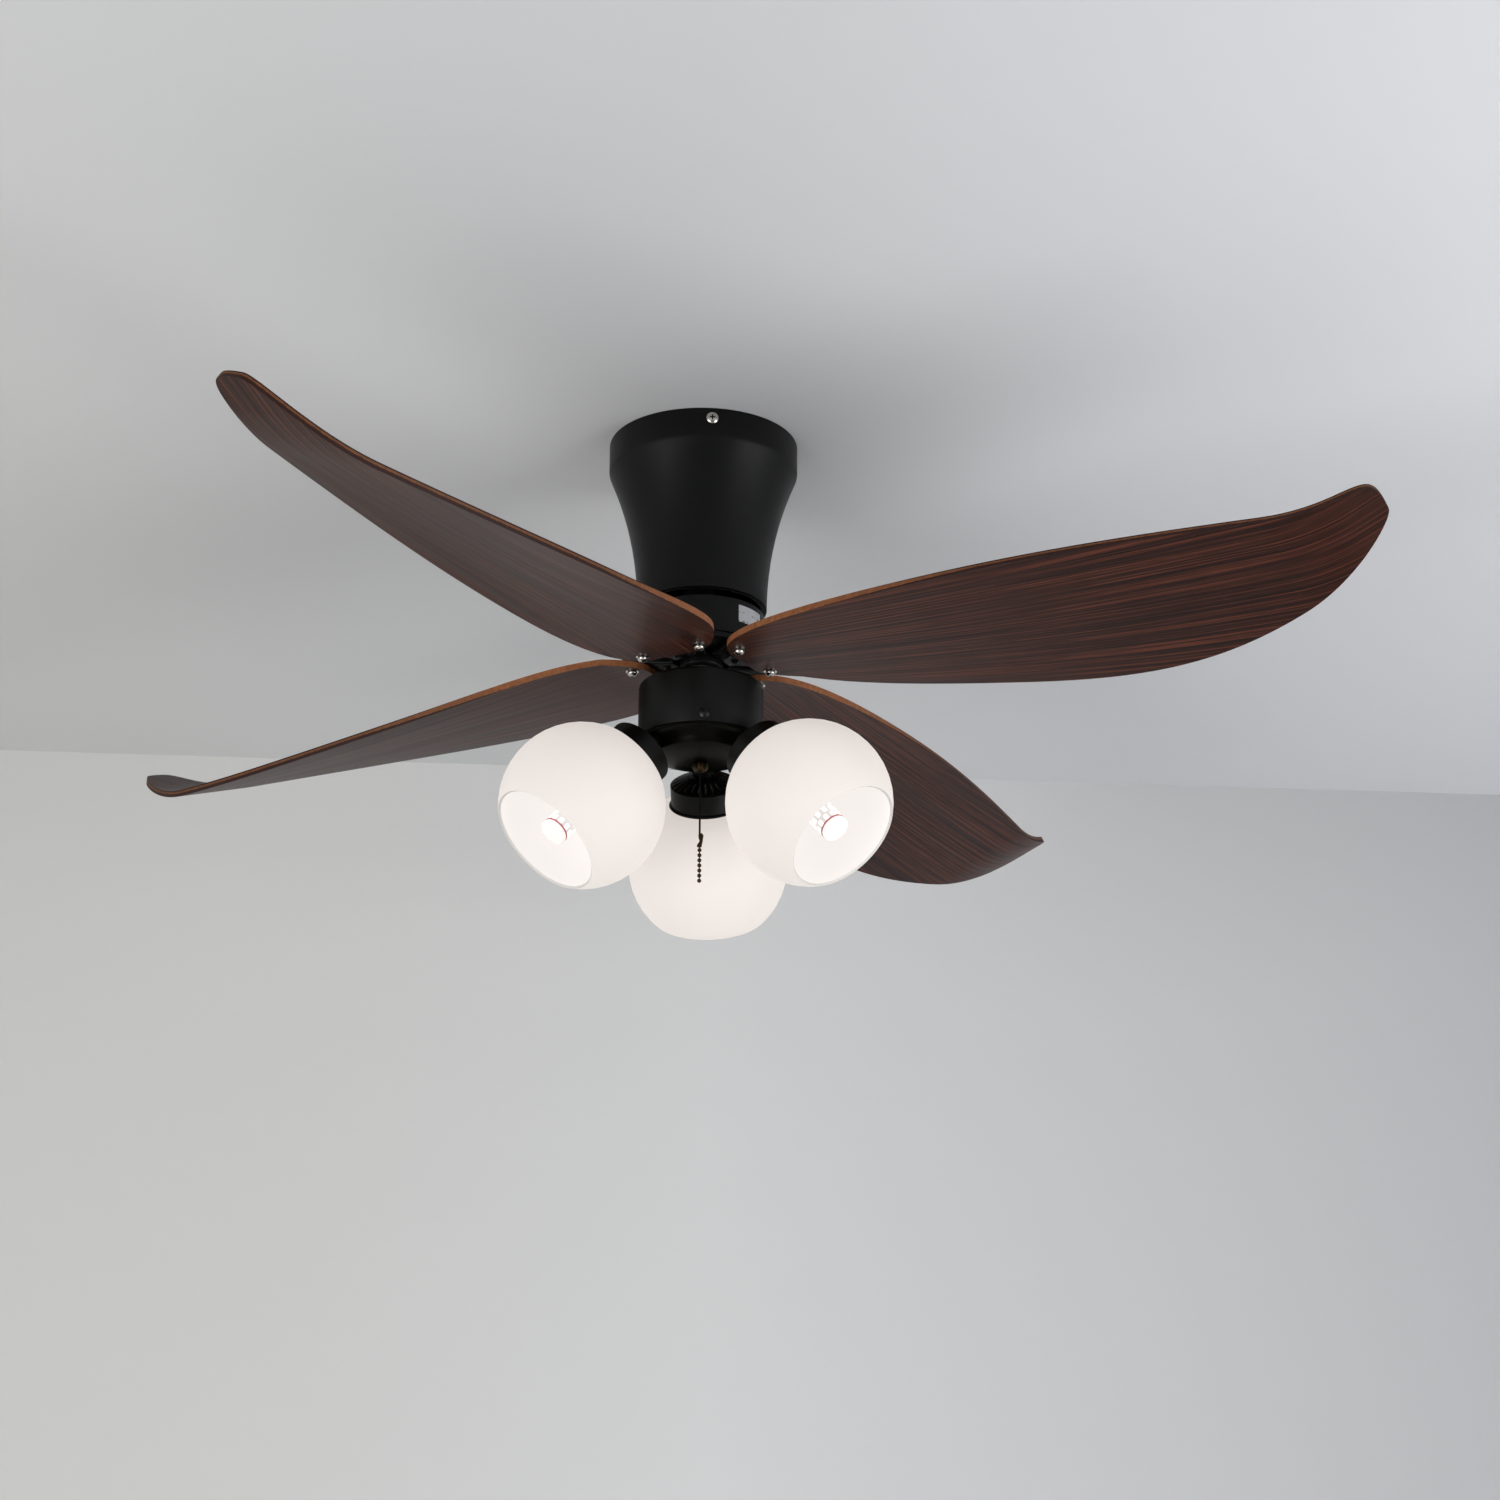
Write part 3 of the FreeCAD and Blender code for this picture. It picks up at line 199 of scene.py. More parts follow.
route = bpy.data.curves.new("pull_cord_braid", "CURVE")
route.dimensions = "3D"
route.bevel_depth = CORD_THICKNESS / 2 * MM
route.bevel_resolution = 4
route.use_fill_caps = True
spline = route.splines.new("NURBS")
spline.points.add(len(CORD_ROUTE) - 1)
for point, spot in zip(spline.points, CORD_ROUTE):
    point.co = (*spot, 1)
spline.order_u = 3
spline.use_endpoint_u = True
route.materials.append(braided_cord)
pull_cord = bpy.data.objects.new("pull_cord_braid", route)
bpy.context.scene.collection.objects.link(pull_cord)
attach(pull_cord, "pull")
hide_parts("pull_cord")

coupler_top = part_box("cord_coupler")[1].z / MM
coupler_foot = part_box("cord_coupler")[0].z / MM
bm = bmesh.new()
draw(bm, [(-0.2, coupler_top), (2.6, coupler_top - 0.2, 2.2), (3.5, coupler_top - 1.8),
          (2.8, coupler_top - 7), (1.9, coupler_foot + 0.8), (1.2, coupler_foot, 0.9), (-1.5, coupler_foot),
          (-2.4, coupler_foot + 1.6, 1.4), (0, coupler_foot + 5.6), (-1.0, coupler_top - 3.6),
          (-1.1, coupler_top - 1.4), (-0.2, coupler_top, 1.5)])
bmesh.ops.remove_doubles(bm, verts=bm.verts, dist=WELD)
front = bmesh.ops.contextual_create(bm, geom=bm.edges)["faces"]
raised = bmesh.ops.extrude_face_region(bm, geom=front)
bmesh.ops.translate(bm, vec=(0, COUPLER_DEPTH * MM, 0),
                    verts=[v for v in raised["geom"] if isinstance(v, bmesh.types.BMVert)])
bmesh.ops.translate(bm, vec=(0, -COUPLER_DEPTH / 2 * MM, 0), verts=bm.verts)
bmesh.ops.recalc_face_normals(bm, faces=bm.faces)
soften(bm, COUPLER_ROUND, segments=3, angle=50)
coupler = finish_piece("brass_coupler", bm, antique_brass, "pull", "aged_brass", "cord_coupler")

chain_top, chain_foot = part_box("ball_chain")[1].z / MM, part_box("ball_chain")[0].z / MM
bead_half = math.sqrt(BEAD_RADIUS ** 2 - BEAD_WIRE_RADIUS ** 2)
string = [(0, chain_top), (BEAD_WIRE_RADIUS, chain_top)]
for bead in reversed(range(BEAD_COUNT)):
    middle = chain_foot + BEAD_RADIUS + bead * BEAD_PITCH
    string += [(BEAD_WIRE_RADIUS, middle + bead_half), (BEAD_WIRE_RADIUS, middle - bead_half, BEAD_RADIUS)]
string.append((0, string[-1][1]))
chain = finish_piece("bead_chain", lathe(string, steps=20), antique_brass, "pull", "aged_brass", "ball_chain")

# --- Canopy ---
# A shell spun from sheet steel: a straight band at the ceiling, a soft shoulder and one long hollow
# curve down to a turned-in rim. It is powder-coated matt black and held by three screws.
CANOPY_WALL = 1.5
SHOULDER_DROP = 30.5
SHOULDER_ROUND = 12
FLARE_RADIUS = 347
RIM_RADIUS = 59.8
RIM_LIP = 4
CEILING_GAP = 0.05

# Powder-coated steel: matt black polyester baked on, with the faint orange peel of such a coat.
# Its real grain is about 0.3 mm; it is drawn at 1.2 mm so that it shows at all.
powder_coat = blank_material("powder_coated_steel_black")
place = add(powder_coat, "ShaderNodeTexCoord")
peel = add(powder_coat, "ShaderNodeTexNoise", {"Vector": place.outputs["Object"], "Scale": 830.0,
           "Detail": 2.0})
handled = add(powder_coat, "ShaderNodeTexNoise", {"Vector": place.outputs["Object"], "Scale": 18.0,
              "Detail": 4.0})
sheen = add(powder_coat, "ShaderNodeMapRange", {"Value": handled.outputs["Fac"], "From Min": 0.3,
            "From Max": 0.7, "To Min": 0.40, "To Max": 0.50})
bump = add(powder_coat, "ShaderNodeBump", {"Height": peel.outputs["Fac"], "Strength": 0.12,
           "Distance": 0.0002})
surface = add(powder_coat, "ShaderNodeBsdfPrincipled", {
    "Base Color": from_hex("#050504"), "Roughness": sheen.outputs["Result"], "Specular IOR Level": 0.2,
    "Normal": bump.outputs["Normal"]})
add(powder_coat, "ShaderNodeOutputMaterial", {"Surface": surface.outputs[0]})

low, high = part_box("canopy")
canopy_radius = high.x / MM
canopy_drop = -low.z / MM
shoulder = RIM_RADIUS + FLARE_RADIUS - math.sqrt(FLARE_RADIUS ** 2 - (canopy_drop - SHOULDER_DROP) ** 2)
band = SHOULDER_DROP - SHOULDER_ROUND * (canopy_drop - SHOULDER_DROP) / FLARE_RADIUS
bm = lathe([
    (canopy_radius - CANOPY_WALL, -CEILING_GAP),
    (canopy_radius, -CEILING_GAP),
    (canopy_radius, -band),
    (shoulder, -SHOULDER_DROP, SHOULDER_ROUND),
    (RIM_RADIUS, -canopy_drop, -FLARE_RADIUS),
    (RIM_RADIUS - CANOPY_WALL - RIM_LIP, -canopy_drop),
    (RIM_RADIUS - CANOPY_WALL - RIM_LIP, CANOPY_WALL - canopy_drop),
    (RIM_RADIUS - CANOPY_WALL, CANOPY_WALL - canopy_drop),
    (shoulder - CANOPY_WALL, -SHOULDER_DROP, FLARE_RADIUS),
    (canopy_radius - CANOPY_WALL, -band, -SHOULDER_ROUND),
    (canopy_radius - CANOPY_WALL, -CEILING_GAP),
], steps=128)
soften(bm, 0.5, angle=60)
finish_piece("spun_canopy", bm, powder_coat, "root", "black_paint", "canopy")

# --- Screws ---
# Nickel-plated pan heads with cross recesses hold the canopy and, over washers, the blades;
# blackened ones of the same kind hold the arms and the switch housing. The four numbers of a screw
# are its head's radius and height and its shank's radius and length.
CANOPY_SCREW = (5.5, 3, 2, 7)
HOUSING_SCREW = (4.8, 2.4, 1.8, 6)
BLADE_SCREW = (4.6, 3.8, 2.4, 12)
CANOPY_SCREW_ANGLE = -84
CANOPY_SCREW_DROP = 10.5
RECESS_WIDTH = 0.3
RECESS_REACH = 0.62
RECESS_DEPTH = 0.62
RECESS_TAPER = 0.55
DOME_SHARE = 0.65
SKIN = 0.1

# Nickel-plated steel: bright and slightly warm, a little uneven from the barrel it was plated in.
nickel_plate = blank_material("nickel_plated_steel")
place = add(nickel_plate, "ShaderNodeTexCoord")
tumble = add(nickel_plate, "ShaderNodeTexNoise", {"Vector": place.outputs["Object"], "Scale": 450.0})
polish = add(nickel_plate, "ShaderNodeMapRange", {"Value": tumble.outputs["Fac"], "To Min": 0.12,
             "To Max": 0.32})
surface = add(nickel_plate, "ShaderNodeBsdfPrincipled", {
    "Base Color": from_hex("#cfcac2"), "Metallic": 1.0, "Roughness": polish.outputs["Result"]})
add(nickel_plate, "ShaderNodeOutputMaterial", {"Surface": surface.outputs[0]})

# Blackened steel: oxide-black screws, oily and half glossy.
black_oxide = blank_material("black_oxide_steel")
place = add(black_oxide, "ShaderNodeTexCoord")
bloom = add(black_oxide, "ShaderNodeTexNoise", {"Vector": place.outputs["Object"], "Scale": 300.0})
oil = add(black_oxide, "ShaderNodeMapRange", {"Value": bloom.outputs["Fac"], "To Min": 0.22, "To Max": 0.4})
surface = add(black_oxide, "ShaderNodeBsdfPrincipled", {
    "Base Color": from_hex("#232323"), "Metallic": 0.6, "Roughness": oil.outputs["Result"]})
add(black_oxide, "ShaderNodeOutputMaterial", {"Surface": surface.outputs[0]})

# The crosses are painted near-black: painted shade in the recesses.
painted_shade_recess = blank_material("steel_recess_painted_shade")
place = add(painted_shade_recess, "ShaderNodeTexCoord")
recess_mottle = add(painted_shade_recess, "ShaderNodeTexNoise", {"Vector": place.outputs["Object"], "Scale": 900.0})
recess_roughness = add(painted_shade_recess, "ShaderNodeMapRange", {"Value": recess_mottle.outputs["Fac"], "To Min": 0.3, "To Max": 0.6})
surface = add(painted_shade_recess, "ShaderNodeBsdfPrincipled", {
    "Base Color": from_hex("#14120f"), "Metallic": 0.2, "Roughness": recess_roughness.outputs["Result"]})
add(painted_shade_recess, "ShaderNodeOutputMaterial", {"Surface": surface.outputs[0]})


def cross_head(head, height, shank, length):
    """A pan-head screw whose head rises along +Z. The cross cut into it has the second material."""
    dome = DOME_SHARE * height
    round_top = (head ** 2 + dome ** 2) / (2 * dome)
    bm = lathe([(0, -length), (shank, -length), (shank, 0), (head, 0), (head, height - dome),
                (0, height, -round_top)], steps=32)
    cutter = bmesh.new()
    for turn in (0, 90):
        arm = bmesh.ops.create_cube(cutter, size=1, matrix=Matrix.Rotation(math.radians(turn), 4, "Z")
                                    @ Matrix.Translation((0, 0, (1.5 - RECESS_DEPTH) * height * MM))
                                    @ Matrix.Diagonal((2 * RECESS_REACH * head * MM,
                                                       RECESS_WIDTH * head * MM, height * MM, 1)))["verts"]
        for corner in arm:
            if corner.co.z < height * MM:
                corner.co.xy *= RECESS_TAPER
    shapes = []
    for part in (bm, cutter):
        mesh = bpy.data.meshes.new("screw_part")
        part.to_mesh(mesh)
        part.free()
        shapes.append(bpy.data.objects.new("screw_part", mesh))
        bpy.context.scene.collection.objects.link(shapes[-1])
    cut = shapes[0].modifiers.new("recess", "BOOLEAN")
    cut.object = shapes[1]
    cut.solver = "EXACT"
    cut.use_self = True
    bpy.context.view_layer.update()
    result = bpy.data.meshes.new_from_object(shapes[0].evaluated_get(bpy.context.evaluated_depsgraph_get()))
    for shape in shapes:
        bpy.data.objects.remove(shape)
    # Faces of the cross below the dome take the second material, painted shade in the recess.
    for face in result.polygons:
        middle = face.center / MM
        surface = height - round_top + math.sqrt(round_top ** 2 - middle.xy.length_squared)
        floor = height - dome / 2 - RECESS_DEPTH * height
        if middle.xy.length < RECESS_REACH * head and floor < middle.z < surface - SKIN:
            face.material_index = 1
    return result


def repeated(mesh, places):
    """One bmesh with a copy of a mesh at each place."""
    bm = bmesh.new()
    for place in places:
        start = len(bm.verts)
        bm.from_mesh(mesh)
        bm.verts.ensure_lookup_table()
        bmesh.ops.transform(bm, matrix=place, verts=bm.verts[start:])
    return bm


def turned_about(angle, place=Matrix.Identity(4)):
    return Matrix.Rotation(math.radians(angle), 4, "Z") @ place


outwards = Matrix.Rotation(math.radians(90), 4, "Y")
downwards = Matrix.Rotation(math.radians(180), 4, "X")
at_band = Matrix.Translation((canopy_radius * MM, 0, -CANOPY_SCREW_DROP * MM)) @ outwards
finish_piece("canopy_pan_heads",
             repeated(cross_head(*CANOPY_SCREW), [turned_about(CANOPY_SCREW_ANGLE + 120 * k, at_band)
                                                  for k in range(3)]),
             [nickel_plate, painted_shade_recess], "root", "bright_screw", "canopy_screws")

# --- Motor shell and its bottom plate ---
# The turning motor's drawn steel can, coated like the canopy, and the cast plate that closes it
# with a spigot inside the can. A small sticker on the can turns with it.
ROTOR_EDGE = 1
CAN_WALL = 2
CAN_ROOF = 3
CAN_BORE = 11.5
PLATE_EDGE = 1.2
PLATE_BORE = 9.2
SPIGOT_PLAY = 0.05
SPIGOT_HEIGHT = 3
low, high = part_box("rotor_shell")
rotor_radius, rotor_top, rotor_foot = high.x / MM, high.z / MM, low.z / MM
plate_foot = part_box("bottom_cover")[0].z / MM
plate_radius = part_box("bottom_cover")[1].x / MM
bm = lathe([(CAN_BORE, rotor_top), (rotor_radius, rotor_top), (rotor_radius, rotor_foot),
            (rotor_radius - CAN_WALL, rotor_foot), (rotor_radius - CAN_WALL, rotor_top - CAN_ROOF),
            (CAN_BORE, rotor_top - CAN_ROOF), (CAN_BORE, rotor_top)], steps=128)
soften(bm, ROTOR_EDGE, segments=3, angle=60)
finish_piece("motor_can", bm, powder_coat, "rotor", "black_paint", "rotor_shell")
spigot = rotor_radius - (CAN_WALL + SPIGOT_PLAY)
bm = lathe([(PLATE_BORE, plate_foot), (plate_radius, plate_foot), (plate_radius, rotor_foot),
            (spigot, rotor_foot), (spigot, rotor_foot + SPIGOT_HEIGHT),
            (PLATE_BORE, rotor_foot + SPIGOT_HEIGHT), (PLATE_BORE, plate_foot)], steps=128)
soften(bm, PLATE_EDGE, segments=3, angle=60)
finish_piece("motor_plate", bm, powder_coat, "rotor", "black_paint", "bottom_cover")

# A plain white paper sticker, ruled with short grey lines that say nothing.
STICKER_START = -53.5
STICKER_END = -22
STICKER_TOP = -177.4
STICKER_FOOT = -193.8
STICKER_GAP = 0.05
PAPER = 0.1
RULE_HALF_PITCH = 4.2
RULE_HALF_WIDTH = 1.0
sticker_paper = blank_material("coated_paper_white")
place = add(sticker_paper, "ShaderNodeTexCoord")
axes = add(sticker_paper, "ShaderNodeSeparateXYZ", {"Vector": place.outputs["Object"]})
rows = add(sticker_paper, "ShaderNodeMath", {0: axes.outputs["Z"], 1: RULE_HALF_PITCH * MM},
           operation="PINGPONG")
inked = add(sticker_paper, "ShaderNodeMath", {0: rows.outputs[0], 1: RULE_HALF_WIDTH * MM},
            operation="LESS_THAN")
gaps = add(sticker_paper, "ShaderNodeTexNoise", {"Vector": place.outputs["Object"], "Scale": 260.0})
broken = add(sticker_paper, "ShaderNodeMath", {0: gaps.outputs["Fac"], 1: 0.5}, operation="GREATER_THAN")
line = add(sticker_paper, "ShaderNodeMath", {0: inked.outputs[0], 1: broken.outputs[0]},
           operation="MULTIPLY")
tint = add(sticker_paper, "ShaderNodeMix", {"Factor": line.outputs[0], "A": from_hex("#e9eaec"),
           "B": from_hex("#8d8f93")}, data_type="RGBA")
surface = add(sticker_paper, "ShaderNodeBsdfPrincipled", {
    "Base Color": tint.outputs["Result"], "Roughness": 0.45})
add(sticker_paper, "ShaderNodeOutputMaterial", {"Surface": surface.outputs[0]})
bm = bmesh.new()
draw(bm, [(rotor_radius + STICKER_GAP, STICKER_FOOT), (rotor_radius + STICKER_GAP, STICKER_TOP)])
bmesh.ops.spin(bm, geom=bm.verts[:] + bm.edges[:], cent=(0, 0, 0), axis=(0, 0, 1),
               angle=math.radians(STICKER_END - STICKER_START), steps=16)
bmesh.ops.recalc_face_normals(bm, faces=bm.faces)
bmesh.ops.solidify(bm, geom=bm.faces[:], thickness=PAPER * MM)
finish_piece("plain_sticker", bm, sticker_paper, "rotor", "bulb_plastic", place=turned_about(STICKER_START))

# --- Blade hub and arms ---
# Black die castings: a short round hub under the motor plate, and four flat arms beside it, each
# held up by two blackened screws. Each arm lies on top of its blade's root.
HUB_BEVEL = 3
HUB_BORE = 8.6
HUB_EDGE = 0.8
ARM_EDGE = 1.2
ARM_THICKNESS = 6
ARM_SCREW = (3.6, 2.4, 2, 10)
ARM_SCREW_REACH = 31
ARM_SCREW_SIDE = 8
BLADE_ANGLES = [-28.8 + 90 * k for k in range(4)]
hub_radius, hub_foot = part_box("blade_hub")[1].x / MM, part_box("blade_hub")[0].z / MM
bm = lathe([(HUB_BORE, plate_foot), (hub_radius, plate_foot), (hub_radius, hub_foot + HUB_BEVEL),
            (hub_radius - HUB_BEVEL, hub_foot), (HUB_BORE, hub_foot), (HUB_BORE, plate_foot)], steps=64)
soften(bm, HUB_EDGE, segments=3, angle=40)
finish_piece("hub_casting", bm, powder_coat, "rotor", "black_paint", "blade_hub")


def plate_from(corners, top, foot, bm):
    """A flat plate between two levels from its outline seen from above."""
    verts = [bm.verts.new((x * MM, y * MM, foot * MM)) for x, y in corners]
    face = bm.faces.new(verts)
    raised = bmesh.ops.extrude_face_region(bm, geom=[face])
    bmesh.ops.translate(bm, vec=(0, 0, (top - foot) * MM),
                        verts=[v for v in raised["geom"] if isinstance(v, bmesh.types.BMVert)])


arm_top = plate_foot
arm_foot = arm_top - ARM_THICKNESS
ARM_HALF = [(20.3, 17), (25, 17), (56, 37.5), (60, 37.4), (63.7, 35.5), (65.7, 32.5), (66, 28.5)]
for index, angle in enumerate(BLADE_ANGLES):
    bm = bmesh.new()
    plate_from(ARM_HALF + [(x, -y) for x, y in reversed(ARM_HALF)], arm_top, arm_foot, bm)
    bmesh.ops.recalc_face_normals(bm, faces=bm.faces)
    soften(bm, ARM_EDGE, segments=3, angle=50)
    finish_piece(f"arm_casting_{index + 1}", bm, powder_coat, "rotor", "black_paint",
                 f"blade_arm_{index + 1}", place=turned_about(angle))
finish_piece("arm_pan_heads",
             repeated(cross_head(*ARM_SCREW),
                      [turned_about(angle, Matrix.Translation(
                          (ARM_SCREW_REACH * MM, side * ARM_SCREW_SIDE * MM, arm_foot * MM)) @ downwards)
                       for angle in BLADE_ANGLES for side in (-1, 1)]),
             [black_oxide, painted_shade_recess], "rotor", "black_screw", "arm_screws")

# --- Blades ---
# Four moulded plywood leaves faced with dark walnut: each lies flat at its root, then droops,
# twists and lifts again at the tip. The veneer's cut edge shows as a lighter, orange-brown line.
BLADE_THICKNESS = 6
BLADE_SEAT = 0.05
FLAT_END = 75
TIP_STATION = 664
DROOP = 24.6
LIFT = 28
LIFT_START = 0.83
TWIST = 22.4
TWIST_EASE = 0.884
BELLY = [(43.8, 22), (43.8, 34), (88, 78), (255, 83.4), (481.8, 93.6), (659.6, -7.8), (659.6, -24.4)]
BACK = [(659.6, -24.4), (659.6, -57.6), (643, -57.6), (435, -81.3), (222, -88.8), (43.8, -68), (43.8, -22)]
GRID_STEP = 9
GRID_COUNTS = (70, 18)  # cuts on each side of the axis, along the blade and across it
GRID_WELD = 1e-6
LEAF_WELD = 0.0001
LEAF_EDGE = 0.9
GRAIN_SHIFT = (3.7, 1.3)  # each blade is cut from another part of the veneer
LEAF_TRIM = 0.999  # the CAD blade's facets lie a hair inside its curve

# Walnut veneer under satin lacquer: fine dark pores and red-brown streaks, 1 to 3 mm wide and a
# hand's length or more, all running along the blade.
walnut = blank_material("walnut_veneer_satin_lacquer")
along = add(walnut, "ShaderNodeUVMap", uv_map="grain")
streak_place = add(walnut, "ShaderNodeMapping", {"Vector": along.outputs["UV"], "Scale": (3.2, 560, 1)})
streaks = add(walnut, "ShaderNodeTexNoise", {"Vector": streak_place.outputs["Vector"], "Scale": 1.0,
              "Detail": 3.0, "Roughness": 0.6, "Distortion": 0.15}, noise_dimensions="2D")
band_place = add(walnut, "ShaderNodeMapping", {"Vector": along.outputs["UV"], "Scale": (1.6, 110, 1)})
bands = add(walnut, "ShaderNodeTexNoise", {"Vector": band_place.outputs["Vector"], "Scale": 1.0,
            "Detail": 3.0}, noise_dimensions="2D")
pore_place = add(walnut, "ShaderNodeMapping", {"Vector": along.outputs["UV"], "Scale": (22, 900, 1)})
pores = add(walnut, "ShaderNodeTexNoise", {"Vector": pore_place.outputs["Vector"], "Scale": 1.0,
            "Detail": 2.0}, noise_dimensions="2D")
blend = add(walnut, "ShaderNodeMath", {0: streaks.outputs["Fac"], 1: 0.88}, operation="MULTIPLY")
mixed = add(walnut, "ShaderNodeMath", {0: bands.outputs["Fac"], 1: 0.12, 2: blend.outputs[0]},
            operation="MULTIPLY_ADD")
grain = add(walnut, "ShaderNodeValToRGB", {"Fac": mixed.outputs[0]})
ramp = grain.color_ramp
ramp.elements[0].position, ramp.elements[0].color = 0.35, from_hex("#190d0a")
ramp.elements[1].position, ramp.elements[1].color = 0.66, from_hex("#5c3022")
middle = ramp.elements.new(0.50)
middle.color = from_hex("#331a12")
dark_pores = add(walnut, "ShaderNodeMapRange", {"Value": pores.outputs["Fac"], "From Min": 0.32,
                 "From Max": 0.5, "To Min": 0.6, "To Max": 1.0})
stained = add(walnut, "ShaderNodeMix", {"Factor": 1.0, "A": grain.outputs["Color"],
              "B": dark_pores.outputs["Result"]}, data_type="RGBA", blend_type="MULTIPLY")
lacquer = add(walnut, "ShaderNodeMapRange", {"Value": bands.outputs["Fac"], "To Min": 0.36, "To Max": 0.5})
bump = add(walnut, "ShaderNodeBump", {"Height": pores.outputs["Fac"], "Strength": 0.25,
           "Distance": 0.0002})
surface = add(walnut, "ShaderNodeBsdfPrincipled", {
    "Base Color": stained.outputs["Result"], "Roughness": lacquer.outputs["Result"],
    "Specular IOR Level": 0.18,
    "Normal": bump.outputs["Normal"]})
add(walnut, "ShaderNodeOutputMaterial", {"Surface": surface.outputs[0]})

# The cut edge: orange-brown plies, shown full height near the root; farther out the edge is painted
# darker and keeps only a thin line of them.
ply_edge = blank_material("plywood_edge_darker_outward")
place = add(ply_edge, "ShaderNodeTexCoord")
plies = add(ply_edge, "ShaderNodeTexNoise", {"Vector": place.outputs["Object"], "Scale": 240.0,
            "Detail": 3.0})
raw = add(ply_edge, "ShaderNodeMix", {"Factor": plies.outputs["Fac"], "A": from_hex("#5f3521"),
          "B": from_hex("#a0673f")}, data_type="RGBA")
edge_place = add(ply_edge, "ShaderNodeUVMap", uv_map="edge")
parts = add(ply_edge, "ShaderNodeSeparateXYZ", {"Vector": edge_place.outputs["UV"]})
outward = add(ply_edge, "ShaderNodeMapRange", {"Value": parts.outputs["X"], "From Min": 0.14,
              "From Max": 0.32})
lowest = add(ply_edge, "ShaderNodeMath", {0: outward.outputs["Result"], 1: 0.5, 2: 0.05},
             operation="MULTIPLY_ADD")
highest = add(ply_edge, "ShaderNodeMath", {0: outward.outputs["Result"], 1: -0.25, 2: 1.05},
              operation="MULTIPLY_ADD")
ragged = add(ply_edge, "ShaderNodeMath", {0: plies.outputs["Fac"], 1: 0.12, 2: parts.outputs["Y"]},
             operation="MULTIPLY_ADD")
over = add(ply_edge, "ShaderNodeMath", {0: ragged.outputs[0], 1: lowest.outputs[0]}, operation="GREATER_THAN")
under = add(ply_edge, "ShaderNodeMath", {0: parts.outputs["Y"], 1: highest.outputs[0]}, operation="LESS_THAN")
bare = add(ply_edge, "ShaderNodeMath", {0: over.outputs[0], 1: under.outputs[0]}, operation="MULTIPLY")
outward_dimming = add(ply_edge, "ShaderNodeMath", {0: outward.outputs["Result"], 1: -0.4, 2: 1.0},
            operation="MULTIPLY_ADD")
shown = add(ply_edge, "ShaderNodeMath", {0: bare.outputs[0], 1: outward_dimming.outputs[0]}, operation="MULTIPLY")
tint = add(ply_edge, "ShaderNodeMix", {"Factor": shown.outputs[0], "A": from_hex("#2c1711"),
           "B": raw.outputs["Result"]}, data_type="RGBA")
surface = add(ply_edge, "ShaderNodeBsdfPrincipled", {
    "Base Color": tint.outputs["Result"], "Roughness": 0.6, "Specular IOR Level": 0.2})
add(ply_edge, "ShaderNodeOutputMaterial", {"Surface": surface.outputs[0]})

leaf_curve = bpy.data.curves.new("leaf", "CURVE")
leaf_curve.dimensions = "3D"
leaf_curve.resolution_u = 20
for poles in (BELLY, BACK):
    side = leaf_curve.splines.new("NURBS")
    side.points.add(len(poles) - 1)
    for point, (x, y) in zip(side.points, poles):
        point.co = (x * LEAF_TRIM * MM, y * LEAF_TRIM * MM, 0, 1)
    side.order_u = 4
    side.use_endpoint_u = True
leaf_object = bpy.data.objects.new("leaf", leaf_curve)
bpy.context.scene.collection.objects.link(leaf_object)
bpy.context.view_layer.update()
leaf_line = bpy.data.meshes.new_from_object(leaf_object.evaluated_get(bpy.context.evaluated_depsgraph_get()))
bpy.data.objects.remove(leaf_object)

blade_middle = arm_foot - BLADE_SEAT - BLADE_THICKNESS / 2


def sheet_height(x, y):
    """Height of the blade's middle sheet in millimetres, x along the blade and y across it."""
    run = (x - FLAT_END) / (TIP_STATION - FLAT_END)
    settled = math.sin(math.pi / 2 * min(max(run, 0) / LIFT_START, 1))
    raised = max((run - LIFT_START) / (1 - LIFT_START), 0) ** 2
    pitch = math.radians(TWIST * math.sin(math.pi / 2 * min(max(run, 0), 1)) ** TWIST_EASE)
    return blade_middle - DROOP * settled + LIFT * raised - y * math.tan(pitch)


